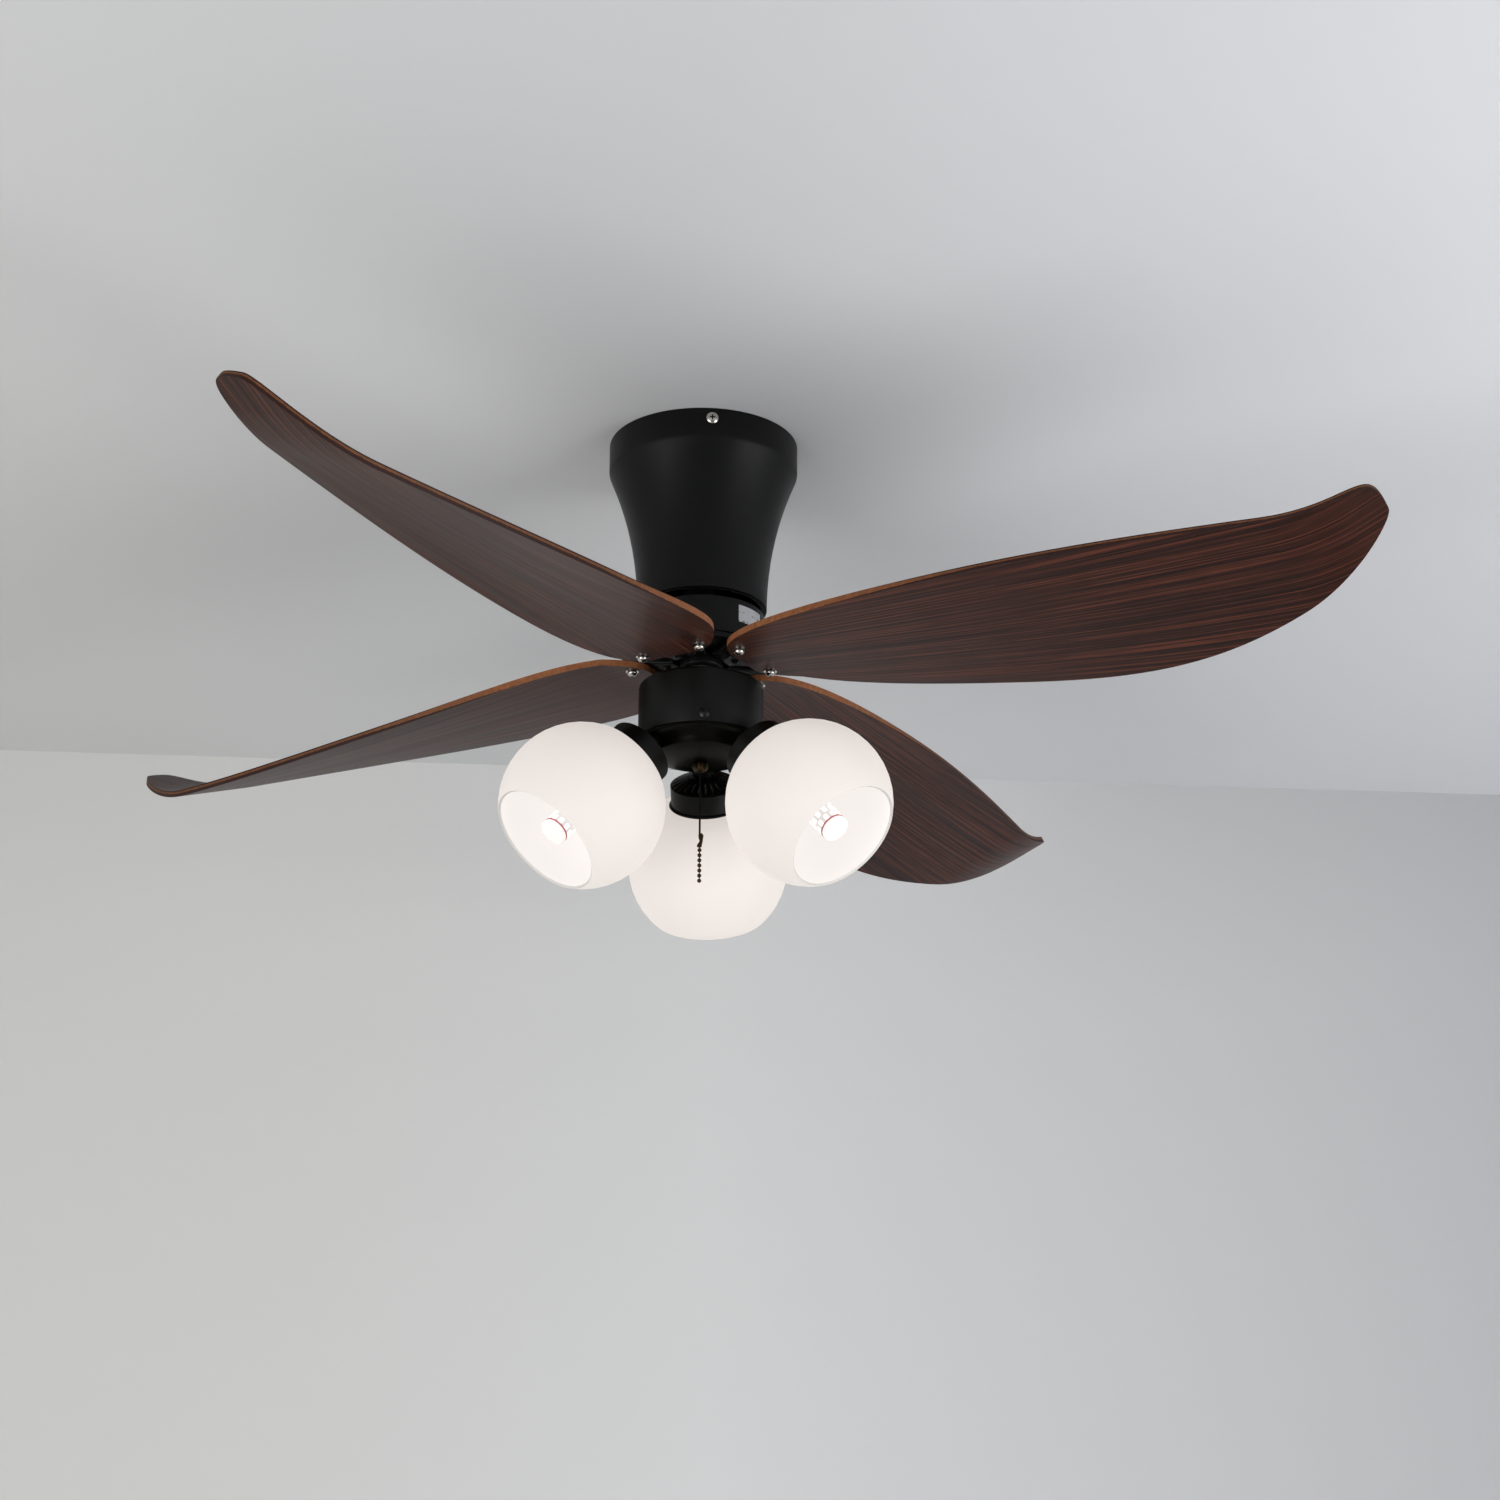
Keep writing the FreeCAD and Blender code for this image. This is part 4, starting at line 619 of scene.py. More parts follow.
for index, angle in enumerate(BLADE_ANGLES):
    bm = bmesh.new()
    bm.from_mesh(leaf_line)
    bmesh.ops.remove_doubles(bm, verts=bm.verts, dist=LEAF_WELD)
    ends = [v for v in bm.verts if len(v.link_edges) == 1]
    bm.edges.new(ends)
    bmesh.ops.contextual_create(bm, geom=bm.edges[:])
    for axis, count in enumerate(GRID_COUNTS):
        for step in range(-count, count):
            spot = [0, 0, 0]
            direction = [0, 0, 0]
            spot[axis] = (step + 0.5) * GRID_STEP * MM
            direction[axis] = 1
            bmesh.ops.bisect_plane(bm, geom=bm.verts[:] + bm.edges[:] + bm.faces[:], dist=GRID_WELD,
                                   plane_co=spot, plane_no=direction)
    grain_layer = bm.loops.layers.uv.new("grain")
    edge_layer = bm.loops.layers.uv.new("edge")
    for face in bm.faces:
        for loop in face.loops:
            loop[grain_layer].uv = (loop.vert.co.x + index * GRAIN_SHIFT[0],
                                    loop.vert.co.y + index * GRAIN_SHIFT[1])
            loop[edge_layer].uv = (loop.vert.co.x, 0)
    for vert in bm.verts:
        vert.co.z = sheet_height(vert.co.x / MM, vert.co.y / MM) * MM
    bmesh.ops.recalc_face_normals(bm, faces=bm.faces)
    bm.normal_update()
    rim = [e for e in bm.edges if e.is_boundary]
    offsets = {v: v.normal * (BLADE_THICKNESS / 2 * MM) for v in bm.verts}
    if sum(v.normal.z for v in bm.verts) < 0:
        offsets = {v: -offset for v, offset in offsets.items()}
    twin = bmesh.ops.duplicate(bm, geom=bm.verts[:] + bm.edges[:] + bm.faces[:])["vert_map"]
    for vert, offset in offsets.items():
        twin[vert].co += offset
        vert.co -= offset
    upper = {twin[v] for v in offsets}
    for face in bm.faces:
        for loop in face.loops:
            if loop.vert in upper:
                loop[edge_layer].uv.y = 1
    for edge in rim:
        first, second = edge.verts
        side = bm.faces.new((first, second, twin[second], twin[first]))
        side.material_index = 1
        for loop in side.loops:
            loop[edge_layer].uv = (loop.vert.co.x, 1 if loop.vert in upper else 0)
    bmesh.ops.recalc_face_normals(bm, faces=bm.faces)
    blade = finish_piece(f"walnut_blade_{index + 1}", bm, [walnut, ply_edge], "rotor", "walnut",
                         f"blade_{index + 1}", place=turned_about(angle))
    rounded = blade.modifiers.new("edge", "BEVEL")
    rounded.width = LEAF_EDGE * MM
    rounded.segments = 2
    rounded.material = 1
    rounded.limit_method = "ANGLE"
    rounded.angle_limit = math.radians(60)

# Two nickel screws hold each blade up to its arm, over a wide washer and a narrow spacer under the head,
# coloured black as painted shade in the gap there.
BLADE_SCREW_REACH = 55.9
BLADE_SCREW_SIDE = 29.5
BLADE_SCREW_TURN = 0.7
WASHER_BORE = 2.7
WASHER_RADIUS = 6
WASHER_HEIGHT = 0.8
SPACER_RADIUS = 4
SPACER_HEIGHT = 0.9
washer_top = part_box("blade_washers")[1].z / MM
spots = [turned_about(angle, Matrix.Translation((BLADE_SCREW_REACH * MM, side * BLADE_SCREW_SIDE * MM,
                                                 (washer_top - WASHER_HEIGHT) * MM)))
         for angle in BLADE_ANGLES for side in (-1, 1)]
finish_piece("blade_pan_heads",
             repeated(cross_head(*BLADE_SCREW),
                      [spot @ Matrix.Translation((0, 0, -SPACER_HEIGHT * MM)) @ downwards
                       @ Matrix.Rotation(BLADE_SCREW_TURN * k, 4, "Z") for k, spot in enumerate(spots)]),
             [nickel_plate, painted_shade_recess], "rotor", "bright_screw", "blade_screws")
washer = bpy.data.meshes.new("washer")
bm = lathe([(WASHER_BORE, -SPACER_HEIGHT), (SPACER_RADIUS, -SPACER_HEIGHT), (SPACER_RADIUS, 0),
            (WASHER_RADIUS, 0), (WASHER_RADIUS, WASHER_HEIGHT), (WASHER_BORE, WASHER_HEIGHT),
            (WASHER_BORE, -SPACER_HEIGHT)], steps=32)
# The spacer's faces take the black oxide: painted shade in the gap between washer and head.
for face in bm.faces:
    middle = face.calc_center_median() / MM
    face.material_index = int(middle.z < -SKIN and middle.xy.length > WASHER_BORE + SKIN)
bm.to_mesh(washer)
bm.free()
finish_piece("blade_washer_discs", repeated(washer, spots), [nickel_plate, black_oxide], "rotor",
             "bright_screw", "blade_washers")

# --- Switch housing ---
# A deep-drawn steel cup hung upside down on the end of the shaft, under a bright turned collar.
# Three blackened screws round its foot hold the light pan.
SHAFT_BORE = 8.1
NECK_EDGE = 0.6
HOUSING_WALL = 1.5
HOUSING_SHOULDER = 4
HOUSING_EDGE = 0.4
HOUSING_SCREW_ANGLE = -86
HOUSING_SCREW_RISE = 7.7

# Turned steel: bright, with the fine rings that the tool leaves.
turned_steel = blank_material("turned_steel_bright")
place = add(turned_steel, "ShaderNodeTexCoord")
rings = add(turned_steel, "ShaderNodeTexWave", {"Vector": place.outputs["Object"], "Scale": 120.0,
            "Distortion": 0.4}, wave_type="RINGS", rings_direction="Z")
cut_marks = add(turned_steel, "ShaderNodeMapRange", {"Value": rings.outputs["Fac"], "To Min": 0.22,
                "To Max": 0.36})
surface = add(turned_steel, "ShaderNodeBsdfPrincipled", {
    "Base Color": from_hex("#b9b6b0"), "Metallic": 1.0, "Roughness": cut_marks.outputs["Result"]})
add(turned_steel, "ShaderNodeOutputMaterial", {"Surface": surface.outputs[0]})

low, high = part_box("neck_collar")
bm = lathe([(SHAFT_BORE, high.z / MM), (high.x / MM, high.z / MM), (high.x / MM, low.z / MM),
            (SHAFT_BORE, low.z / MM), (SHAFT_BORE, high.z / MM)], steps=64)
soften(bm, NECK_EDGE, segments=3, angle=60)
finish_piece("neck_ring", bm, turned_steel, "root", "bare_steel", "neck_collar")

low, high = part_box("switch_housing")
housing_radius, housing_top, housing_foot = high.x / MM, high.z / MM, low.z / MM
inner = housing_radius - HOUSING_WALL
bm = lathe([(SHAFT_BORE, housing_top), (housing_radius - HOUSING_SHOULDER, housing_top),
            (housing_radius, housing_top - HOUSING_SHOULDER, HOUSING_SHOULDER),
            (housing_radius, housing_foot), (inner, housing_foot), (inner, housing_top - HOUSING_SHOULDER),
            (housing_radius - HOUSING_SHOULDER, housing_top - HOUSING_WALL, HOUSING_WALL - HOUSING_SHOULDER),
            (SHAFT_BORE, housing_top - HOUSING_WALL), (SHAFT_BORE, housing_top)], steps=128)
soften(bm, HOUSING_EDGE, angle=60)
finish_piece("drawn_housing", bm, powder_coat, "root", "black_paint", "switch_housing")
at_side = Matrix.Translation((housing_radius * MM, 0, (housing_foot + HOUSING_SCREW_RISE) * MM)) @ outwards
finish_piece("housing_pan_heads",
             repeated(cross_head(*HOUSING_SCREW), [turned_about(HOUSING_SCREW_ANGLE + 120 * k, at_side)
                                                   for k in range(3)]),
             [black_oxide, painted_shade_recess], "root", "black_screw", "housing_screws")

# --- Light pan ---
# A pressed pan that slides up into the housing: a bead, a hollow cove and a shallow bowl, with
# three short bosses for the lamps and a brass bushing at the bottom for the cord.
PAN_BEAD = 3.4
PAN_COVE_RADIUS = 51
PAN_COVE_HEIGHT = 10.5
PAN_COVE_ROUND = 12
PAN_BOWL_RADIUS = 42
PAN_WALL = 1.5
PAN_EDGE = 0.6
PAN_INSET = 0.7
PAN_SKIRT = 14
PAN_PLAY = 0.1
PAN_HOLE = 4.9
LAMP_ANGLES = {"right": -33, "back": 87, "left": 207}
LAMP_LEAN = 42.7
LAMP_SEAT_RADIUS = 46
LAMP_STAND = 103.3
BOSS_RADIUS = 9
BOSS_SUNK = 2
CUP_TOP = 91.8
BUSHING_BORE = 1.7
BUSHING_STRAIGHT = 5.3
BUSHING_TAPER = 2
BUSHING_RIBS = 16
RIB_START = 4
RIB_VALLEY = 0.93

# The pan's paint is the same powder over a warm dark base, a little glossier.
pan_coat = blank_material("powder_coated_steel_bronze_black")
place = add(pan_coat, "ShaderNodeTexCoord")
peel = add(pan_coat, "ShaderNodeTexNoise", {"Vector": place.outputs["Object"], "Scale": 830.0, "Detail": 2.0})
bump = add(pan_coat, "ShaderNodeBump", {"Height": peel.outputs["Fac"], "Strength": 0.1, "Distance": 0.0002})
surface = add(pan_coat, "ShaderNodeBsdfPrincipled", {
    "Base Color": from_hex("#0a0a08"), "Roughness": 0.36, "Specular IOR Level": 0.05,
    "Specular Tint": from_hex("#fff7ec"), "Normal": bump.outputs["Normal"]})
add(pan_coat, "ShaderNodeOutputMaterial", {"Surface": surface.outputs[0]})

pan_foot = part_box("chain_bushing")[1].z / MM
bead_foot = housing_foot - PAN_BEAD
cove_foot = bead_foot - PAN_COVE_HEIGHT
bowl_height = cove_foot - pan_foot
bowl_round = (PAN_BOWL_RADIUS ** 2 + bowl_height ** 2) / (2 * bowl_height)
pan_edge = housing_radius - PAN_INSET
skirt, skirt_top = inner - PAN_PLAY, housing_foot + PAN_SKIRT
bm = lathe([(skirt, skirt_top), (skirt, housing_foot), (pan_edge, housing_foot),
            (pan_edge, bead_foot), (PAN_COVE_RADIUS, bead_foot),
            (PAN_BOWL_RADIUS, cove_foot, -PAN_COVE_ROUND), (PAN_HOLE, pan_foot, bowl_round),
            (PAN_HOLE, pan_foot + PAN_WALL), (PAN_BOWL_RADIUS - PAN_WALL, cove_foot + PAN_WALL, -bowl_round),
            (PAN_COVE_RADIUS - PAN_WALL, bead_foot + PAN_WALL, PAN_COVE_ROUND),
            (skirt - PAN_WALL, bead_foot + PAN_WALL), (skirt - PAN_WALL, skirt_top),
            (skirt, skirt_top)], steps=128)
soften(bm, PAN_EDGE, segments=3, angle=40)
pan_ring = bpy.data.meshes.new("pan_ring")
bm.to_mesh(pan_ring)
bm.free()
lean_back = Matrix.Rotation(math.radians(-LAMP_LEAN), 4, "Y")
seat = Matrix.Translation((LAMP_SEAT_RADIUS * MM, 0, bead_foot * MM))


def on_lamp(side, distance=0):
    """A place on a lamp's axis, a distance in millimetres up from the globe's centre."""
    return turned_about(LAMP_ANGLES[side], seat @ lean_back
                        @ Matrix.Translation((0, 0, (distance - LAMP_STAND) * MM)))


boss = bpy.data.meshes.new("boss")
boss_height = LAMP_STAND - CUP_TOP + BOSS_SUNK
boss_shape = lathe([(0, 0), (BOSS_RADIUS, 0), (BOSS_RADIUS, boss_height), (0, boss_height), (0, 0)],
                   steps=48)
boss_shape.to_mesh(boss)
boss_shape.free()
bm = repeated(boss, [on_lamp(side, CUP_TOP) for side in LAMP_ANGLES])
bm.from_mesh(pan_ring)
finish_piece("pressed_pan", bm, pan_coat, "root", "black_paint", "light_pan")

low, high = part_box("chain_bushing")
bush_radius, bush_top, bush_foot = high.x / MM, high.z / MM, low.z / MM
bm = lathe([(BUSHING_BORE, bush_top), (bush_radius, bush_top), (bush_radius, bush_top - BUSHING_STRAIGHT),
            (bush_radius - BUSHING_TAPER, bush_foot), (BUSHING_BORE, bush_foot), (BUSHING_BORE, bush_top)],
           steps=2 * BUSHING_RIBS)
for vert in bm.verts:
    turn = math.atan2(vert.co.y, vert.co.x) / FULL_TURN * BUSHING_RIBS
    if vert.co.xy.length > RIB_START * MM and round(2 * turn) % 2:
        vert.co.xy *= RIB_VALLEY
soften(bm, 0.3, segments=2, angle=40)
finish_piece("brass_bushing", bm, antique_brass, "root", "aged_brass", "chain_bushing")

# --- Lamp cups ---
# Each lamp hangs in a pressed black cup: a cone with a ring of narrow vents, a straight wall and
# a rolled bead at its mouth. The glass, its clamping ring and the white socket sit inside.
CUP_WALL = 1.2
CUP_RADIUS = 31.8
CUP_SHOULDER = 83
CUP_MOUTH = 61
CUP_BEAD_RADIUS = 33.8
CUP_BEAD_HEIGHT = 3
VENT_COUNT = 24
VENT_INNER = 17
VENT_OUTER = 28.5
VENT_START = 0.25
VENT_END = 0.5
NECK_TOP = 76.5

# White urea moulding: the socket and the bulb's housing, smooth and faintly glossy.
white_moulding = blank_material("moulded_urea_white")
place = add(white_moulding, "ShaderNodeTexCoord")
flow = add(white_moulding, "ShaderNodeTexNoise", {"Vector": place.outputs["Object"], "Scale": 60.0})
skin = add(white_moulding, "ShaderNodeMapRange", {"Value": flow.outputs["Fac"], "To Min": 0.3,
           "To Max": 0.42})
surface = add(white_moulding, "ShaderNodeBsdfPrincipled", {
    "Base Color": from_hex("#e6e1d8"), "Roughness": skin.outputs["Result"]})
add(white_moulding, "ShaderNodeOutputMaterial", {"Surface": surface.outputs[0]})

for side in LAMP_ANGLES:
    bm = lathe([(5, CUP_TOP), (14, CUP_TOP), (VENT_INNER, CUP_TOP - 1.5), (VENT_OUTER, CUP_SHOULDER + 1.6),
                (CUP_RADIUS, CUP_SHOULDER - 0.6), (CUP_RADIUS, CUP_MOUTH + CUP_BEAD_HEIGHT),
                (CUP_BEAD_RADIUS, CUP_MOUTH + CUP_BEAD_HEIGHT / 2, 2.2),
                (CUP_RADIUS, CUP_MOUTH, 2.2), (CUP_RADIUS - CUP_WALL, CUP_MOUTH)], steps=VENT_COUNT * 4)
    vents = []
    for face in bm.faces:
        middle = face.calc_center_median() / MM
        share = math.atan2(middle.y, middle.x) / FULL_TURN * VENT_COUNT % 1
        if VENT_INNER < middle.xy.length < VENT_OUTER and VENT_START < share < VENT_END:
            vents.append(face)
    bmesh.ops.delete(bm, geom=vents, context="FACES")
    cup = finish_piece(f"vented_cup_{side}", bm, powder_coat, "root", "black_paint",
                       f"lamp_cup_{side}", place=on_lamp(side))
    walls = cup.modifiers.new("wall", "SOLIDIFY")
    walls.thickness = CUP_WALL * MM
    walls.offset = -1
    bm = lathe([(0, CUP_TOP - 1.3), (12.8, CUP_TOP - 1.3), (17, 84), (17, 79), (25, 79), (25, NECK_TOP),
                (19, NECK_TOP), (19, 60), (13.6, 60), (13.6, 85), (0, 85)], steps=48)
    soften(bm, 0.5, segments=2, angle=50)
    finish_piece(f"white_socket_{side}", bm, white_moulding, "root", "socket_porcelain",
                 f"lamp_socket_{side}", place=on_lamp(side))

# --- Glass globes ---
# Opal glass blown in a mould and acid-etched, with a short neck above and a wide opening cut and ground
# below. Its milky white, warm where the lamp shines through it, is a painted glow over a grey base.
GLASS_WALL = 2.5
GLOBE_RADIUS = 74.2
GLASS_HOLE = 20
GLASS_NECK = 28.5
NECK_FOOT = 60
SHOULDER = 50
SHOULDER_BEND = 36
OPENING = 53.4
GLASS_EDGE = 0.4
GROUND_DEPTH = 0.25
INWARDS = -0.5

opal_glass = blank_material("opal_glass_etched_painted_glow")
place = add(opal_glass, "ShaderNodeTexCoord")
cloud = add(opal_glass, "ShaderNodeTexNoise", {"Vector": place.outputs["Object"], "Scale": 14.0,
            "Detail": 2.0})
milk = add(opal_glass, "ShaderNodeMix", {"Factor": cloud.outputs["Fac"], "A": from_hex("#8f8c88"),
           "B": from_hex("#95928e")}, data_type="RGBA")
surface = add(opal_glass, "ShaderNodeBsdfPrincipled", {
    "Base Color": milk.outputs["Result"], "Roughness": 0.6, "IOR": 1.5,
    "Specular IOR Level": 0.3,
    "Emission Color": from_hex("#fff6f0"), "Emission Strength": 0.61})
add(opal_glass, "ShaderNodeOutputMaterial", {"Surface": surface.outputs[0]})

# The same glass from inside, where the lamp washes it whiter.
lit_inside = blank_material("opal_glass_lit_inside")
place = add(lit_inside, "ShaderNodeTexCoord")
cloud = add(lit_inside, "ShaderNodeTexNoise", {"Vector": place.outputs["Object"], "Scale": 14.0,
            "Detail": 2.0})
milk = add(lit_inside, "ShaderNodeMix", {"Factor": cloud.outputs["Fac"], "A": from_hex("#8c8a89"),
           "B": from_hex("#928f8e")}, data_type="RGBA")
surface = add(lit_inside, "ShaderNodeBsdfPrincipled", {
    "Base Color": milk.outputs["Result"], "Roughness": 0.6, "Specular IOR Level": 0.3,
    "Emission Color": from_hex("#fffaf7"), "Emission Strength": 0.67})
add(lit_inside, "ShaderNodeOutputMaterial", {"Surface": surface.outputs[0]})

# The ground rim of the opening: matt grey glass that glows less than the bowl.
ground_rim = blank_material("ground_glass_rim")
place = add(ground_rim, "ShaderNodeTexCoord")
grit = add(ground_rim, "ShaderNodeTexNoise", {"Vector": place.outputs["Object"], "Scale": 700.0})
frost = add(ground_rim, "ShaderNodeMapRange", {"Value": grit.outputs["Fac"], "To Min": 0.7, "To Max": 0.9})
surface = add(ground_rim, "ShaderNodeBsdfPrincipled", {
    "Base Color": from_hex("#c9c5c1"), "Roughness": frost.outputs["Result"],
    "Emission Color": from_hex("#fff6f0"), "Emission Strength": 0.12})
add(ground_rim, "ShaderNodeOutputMaterial", {"Surface": surface.outputs[0]})

side_height = math.sqrt(GLOBE_RADIUS ** 2 - SHOULDER ** 2)
mouth_height = -math.sqrt(GLOBE_RADIUS ** 2 - OPENING ** 2)
share = (GLOBE_RADIUS - GLASS_WALL) / GLOBE_RADIUS
EQUATOR_OUT = (GLOBE_RADIUS, 0, GLOBE_RADIUS)
EQUATOR_IN = (GLOBE_RADIUS - GLASS_WALL, 0, GLASS_WALL - GLOBE_RADIUS)
for side in LAMP_ANGLES:
    bm = lathe([(GLASS_HOLE, NECK_TOP), (GLASS_NECK, NECK_TOP), (GLASS_NECK, NECK_FOOT),
                (SHOULDER, side_height, SHOULDER_BEND), EQUATOR_OUT, (OPENING, mouth_height, GLOBE_RADIUS),
                (OPENING * share, mouth_height * share), EQUATOR_IN,
                (SHOULDER * share, side_height * share, GLASS_WALL - GLOBE_RADIUS),
                (GLASS_NECK - GLASS_WALL, NECK_FOOT - GLASS_WALL, GLASS_WALL - SHOULDER_BEND),
                (GLASS_NECK - GLASS_WALL, NECK_TOP - GLASS_WALL), (GLASS_HOLE, NECK_TOP - GLASS_WALL),
                (GLASS_HOLE, NECK_TOP)])
    soften(bm, GLASS_EDGE, segments=2, angle=50)
    for face in bm.faces:
        middle = face.calc_center_median() / MM
        if middle.z < NECK_FOOT and face.normal.dot(middle) < INWARDS * middle.length:
            face.material_index = 2
        elif middle.z < 0 and middle.length < GLOBE_RADIUS - GROUND_DEPTH:
            face.material_index = 1
    finish_piece(f"opal_globe_{side}", bm, [opal_glass, ground_rim, lit_inside], "root", "opal_glass",
                 f"glass_globe_{side}", place=on_lamp(side))

# --- Bulbs ---
# Column LED bulbs: a white moulded base in the socket, a round column set with rows of small
# square LEDs, and a white cap with a thin pink seal behind it.
COLLAR_TOP = 57
COLLAR_FOOT = 38
COLUMN_RADIUS = 11.5
COLUMN_FOOT = -36
CAP_RADIUS = 12.2
CAP_HEIGHT = 6
LED_ROWS = 9
LEDS_ROUND = 10
CHIP = (1.2, 3.4, 5)
SEAL_ABOVE = 0.9
SEAL_BELOW = 0.6
SEAL_PROUD = 0.2

# The white board around the chips glows: painted light from the chips beside it.
led_board = blank_material("led_board_white_painted_glow")
place = add(led_board, "ShaderNodeTexCoord")
dust = add(led_board, "ShaderNodeTexNoise", {"Vector": place.outputs["Object"], "Scale": 200.0})
board_skin = add(led_board, "ShaderNodeMapRange", {"Value": dust.outputs["Fac"], "To Min": 0.4,
                 "To Max": 0.55})
surface = add(led_board, "ShaderNodeBsdfPrincipled", {
    "Base Color": from_hex("#a9a6a8"), "Roughness": board_skin.outputs["Result"],
    "Emission Color": from_hex("#fffcfb"), "Emission Strength": 0.42})
add(led_board, "ShaderNodeOutputMaterial", {"Surface": surface.outputs[0]})
# The cap's frosted lens, lit from behind.
cap_lens = blank_material("frosted_lens_lit")
place = add(cap_lens, "ShaderNodeTexCoord")
frost = add(cap_lens, "ShaderNodeTexNoise", {"Vector": place.outputs["Object"], "Scale": 260.0})
glow = add(cap_lens, "ShaderNodeMapRange", {"Value": frost.outputs["Fac"], "To Min": 0.42, "To Max": 0.5})
surface = add(cap_lens, "ShaderNodeBsdfPrincipled", {
    "Base Color": from_hex("#d8d4d0"), "Roughness": 0.5,
    "Emission Color": from_hex("#fffdfb"), "Emission Strength": glow.outputs["Result"]})
add(cap_lens, "ShaderNodeOutputMaterial", {"Surface": surface.outputs[0]})
# Lit phosphor: pale yellow resin, each chip a little different.
led_chip = blank_material("led_phosphor_lit")
place = add(led_chip, "ShaderNodeTexCoord")
batch = add(led_chip, "ShaderNodeTexNoise", {"Vector": place.outputs["Object"], "Scale": 90.0})
phosphor = add(led_chip, "ShaderNodeMix", {"Factor": batch.outputs["Fac"], "A": from_hex("#fff0c8"),
               "B": from_hex("#fff8e6")}, data_type="RGBA")
surface = add(led_chip, "ShaderNodeBsdfPrincipled", {
    "Base Color": phosphor.outputs["Result"], "Roughness": 0.3,
    "Emission Color": from_hex("#fff4dc"), "Emission Strength": 1.1})
add(led_chip, "ShaderNodeOutputMaterial", {"Surface": surface.outputs[0]})
# Silicone: a soft dull pink with a dusty skin.
pink_seal = blank_material("silicone_seal_pink")
place = add(pink_seal, "ShaderNodeTexCoord")
dust = add(pink_seal, "ShaderNodeTexNoise", {"Vector": place.outputs["Object"], "Scale": 300.0})
dull = add(pink_seal, "ShaderNodeMapRange", {"Value": dust.outputs["Fac"], "To Min": 0.42, "To Max": 0.62})
surface = add(pink_seal, "ShaderNodeBsdfPrincipled", {
    "Base Color": from_hex("#c0707c"), "Roughness": dull.outputs["Result"]})
add(pink_seal, "ShaderNodeOutputMaterial", {"Surface": surface.outputs[0]})

for side in LAMP_ANGLES:
    bm = lathe([(0, 84), (6.6, 84), (13.2, 80), (13.2, COLLAR_TOP), (15, COLLAR_TOP - 4), (15, COLLAR_FOOT),
                (0, COLLAR_FOOT)], steps=40)
    soften(bm, 0.5, segments=2, angle=40)
    finish_piece(f"bulb_foot_{side}", bm, white_moulding, "root", "bulb_plastic",
                 f"bulb_base_{side}", place=on_lamp(side))
    bm = lathe([(0, COLLAR_FOOT), (COLUMN_RADIUS, COLLAR_FOOT), (COLUMN_RADIUS, COLUMN_FOOT),
                (0, COLUMN_FOOT)], steps=LEDS_ROUND * 3)
    pitch = (COLLAR_FOOT - COLUMN_FOOT) / LED_ROWS
    for row in range(LED_ROWS):
        for number in range(LEDS_ROUND):
            turn = (number + row % 2 / 2) * 360 / LEDS_ROUND
            chip = bmesh.ops.create_cube(bm, size=1, matrix=turned_about(turn, Matrix.Translation(
                (COLUMN_RADIUS * MM, 0, (COLUMN_FOOT + (row + 0.5) * pitch) * MM))
                @ Matrix.Diagonal((*(size * MM for size in CHIP), 1))))["verts"]
            for face in {f for v in chip for f in v.link_faces}:
                face.material_index = 1
    finish_piece(f"led_stack_{side}", bm, [led_board, led_chip], "root", "led_column",
                 f"led_column_{side}", place=on_lamp(side))
    bm = lathe([(0, COLUMN_FOOT), (CAP_RADIUS, COLUMN_FOOT), (CAP_RADIUS, COLUMN_FOOT - CAP_HEIGHT),
                (0, COLUMN_FOOT - CAP_HEIGHT)], steps=48)
    soften(bm, 1.4, segments=3, angle=50)
    finish_piece(f"bulb_end_{side}", bm, cap_lens, "root", "bulb_plastic",
                 f"bulb_cap_{side}", place=on_lamp(side))
    seal_top, seal_foot = COLUMN_FOOT + SEAL_ABOVE, COLUMN_FOOT - SEAL_BELOW
    bm = lathe([(COLUMN_RADIUS, seal_top), (CAP_RADIUS + SEAL_PROUD, seal_top),
                (CAP_RADIUS + SEAL_PROUD, seal_foot), (COLUMN_RADIUS, seal_foot),
                (COLUMN_RADIUS, seal_top)], steps=48)
    finish_piece(f"bulb_seal_{side}", bm, pink_seal, "root", "bulb_plastic", place=on_lamp(side))

# --- Hidden structure ---
# The ceiling plate, rod, yoke, motor parts, switch gear and the rings that clamp the glass keep
# their CAD shape and get their material.

# Zinc-plated steel: pale grey and slightly mottled.
zinc_plate = blank_material("zinc_plated_steel")
place = add(zinc_plate, "ShaderNodeTexCoord")
spangle = add(zinc_plate, "ShaderNodeTexVoronoi", {"Vector": place.outputs["Object"], "Scale": 180.0})
dull = add(zinc_plate, "ShaderNodeMapRange", {"Value": spangle.outputs["Distance"], "To Min": 0.3,
           "To Max": 0.5})
surface = add(zinc_plate, "ShaderNodeBsdfPrincipled", {
    "Base Color": from_hex("#b6b9bd"), "Metallic": 1.0, "Roughness": dull.outputs["Result"]})
add(zinc_plate, "ShaderNodeOutputMaterial", {"Surface": surface.outputs[0]})
# Electrical steel laminations: dark sheets with lined edges. Real ones are 0.5 mm; here 6 mm.
laminated = blank_material("laminated_electrical_steel")
place = add(laminated, "ShaderNodeTexCoord")
sheets = add(laminated, "ShaderNodeTexWave", {"Vector": place.outputs["Object"], "Scale": 50.0},
             bands_direction="Z")
tint = add(laminated, "ShaderNodeMix", {"Factor": sheets.outputs["Fac"], "A": from_hex("#3a3b3d"),
           "B": from_hex("#5b5c5f")}, data_type="RGBA")
surface = add(laminated, "ShaderNodeBsdfPrincipled", {
    "Base Color": tint.outputs["Result"], "Metallic": 0.9, "Roughness": 0.5})
add(laminated, "ShaderNodeOutputMaterial", {"Surface": surface.outputs[0]})
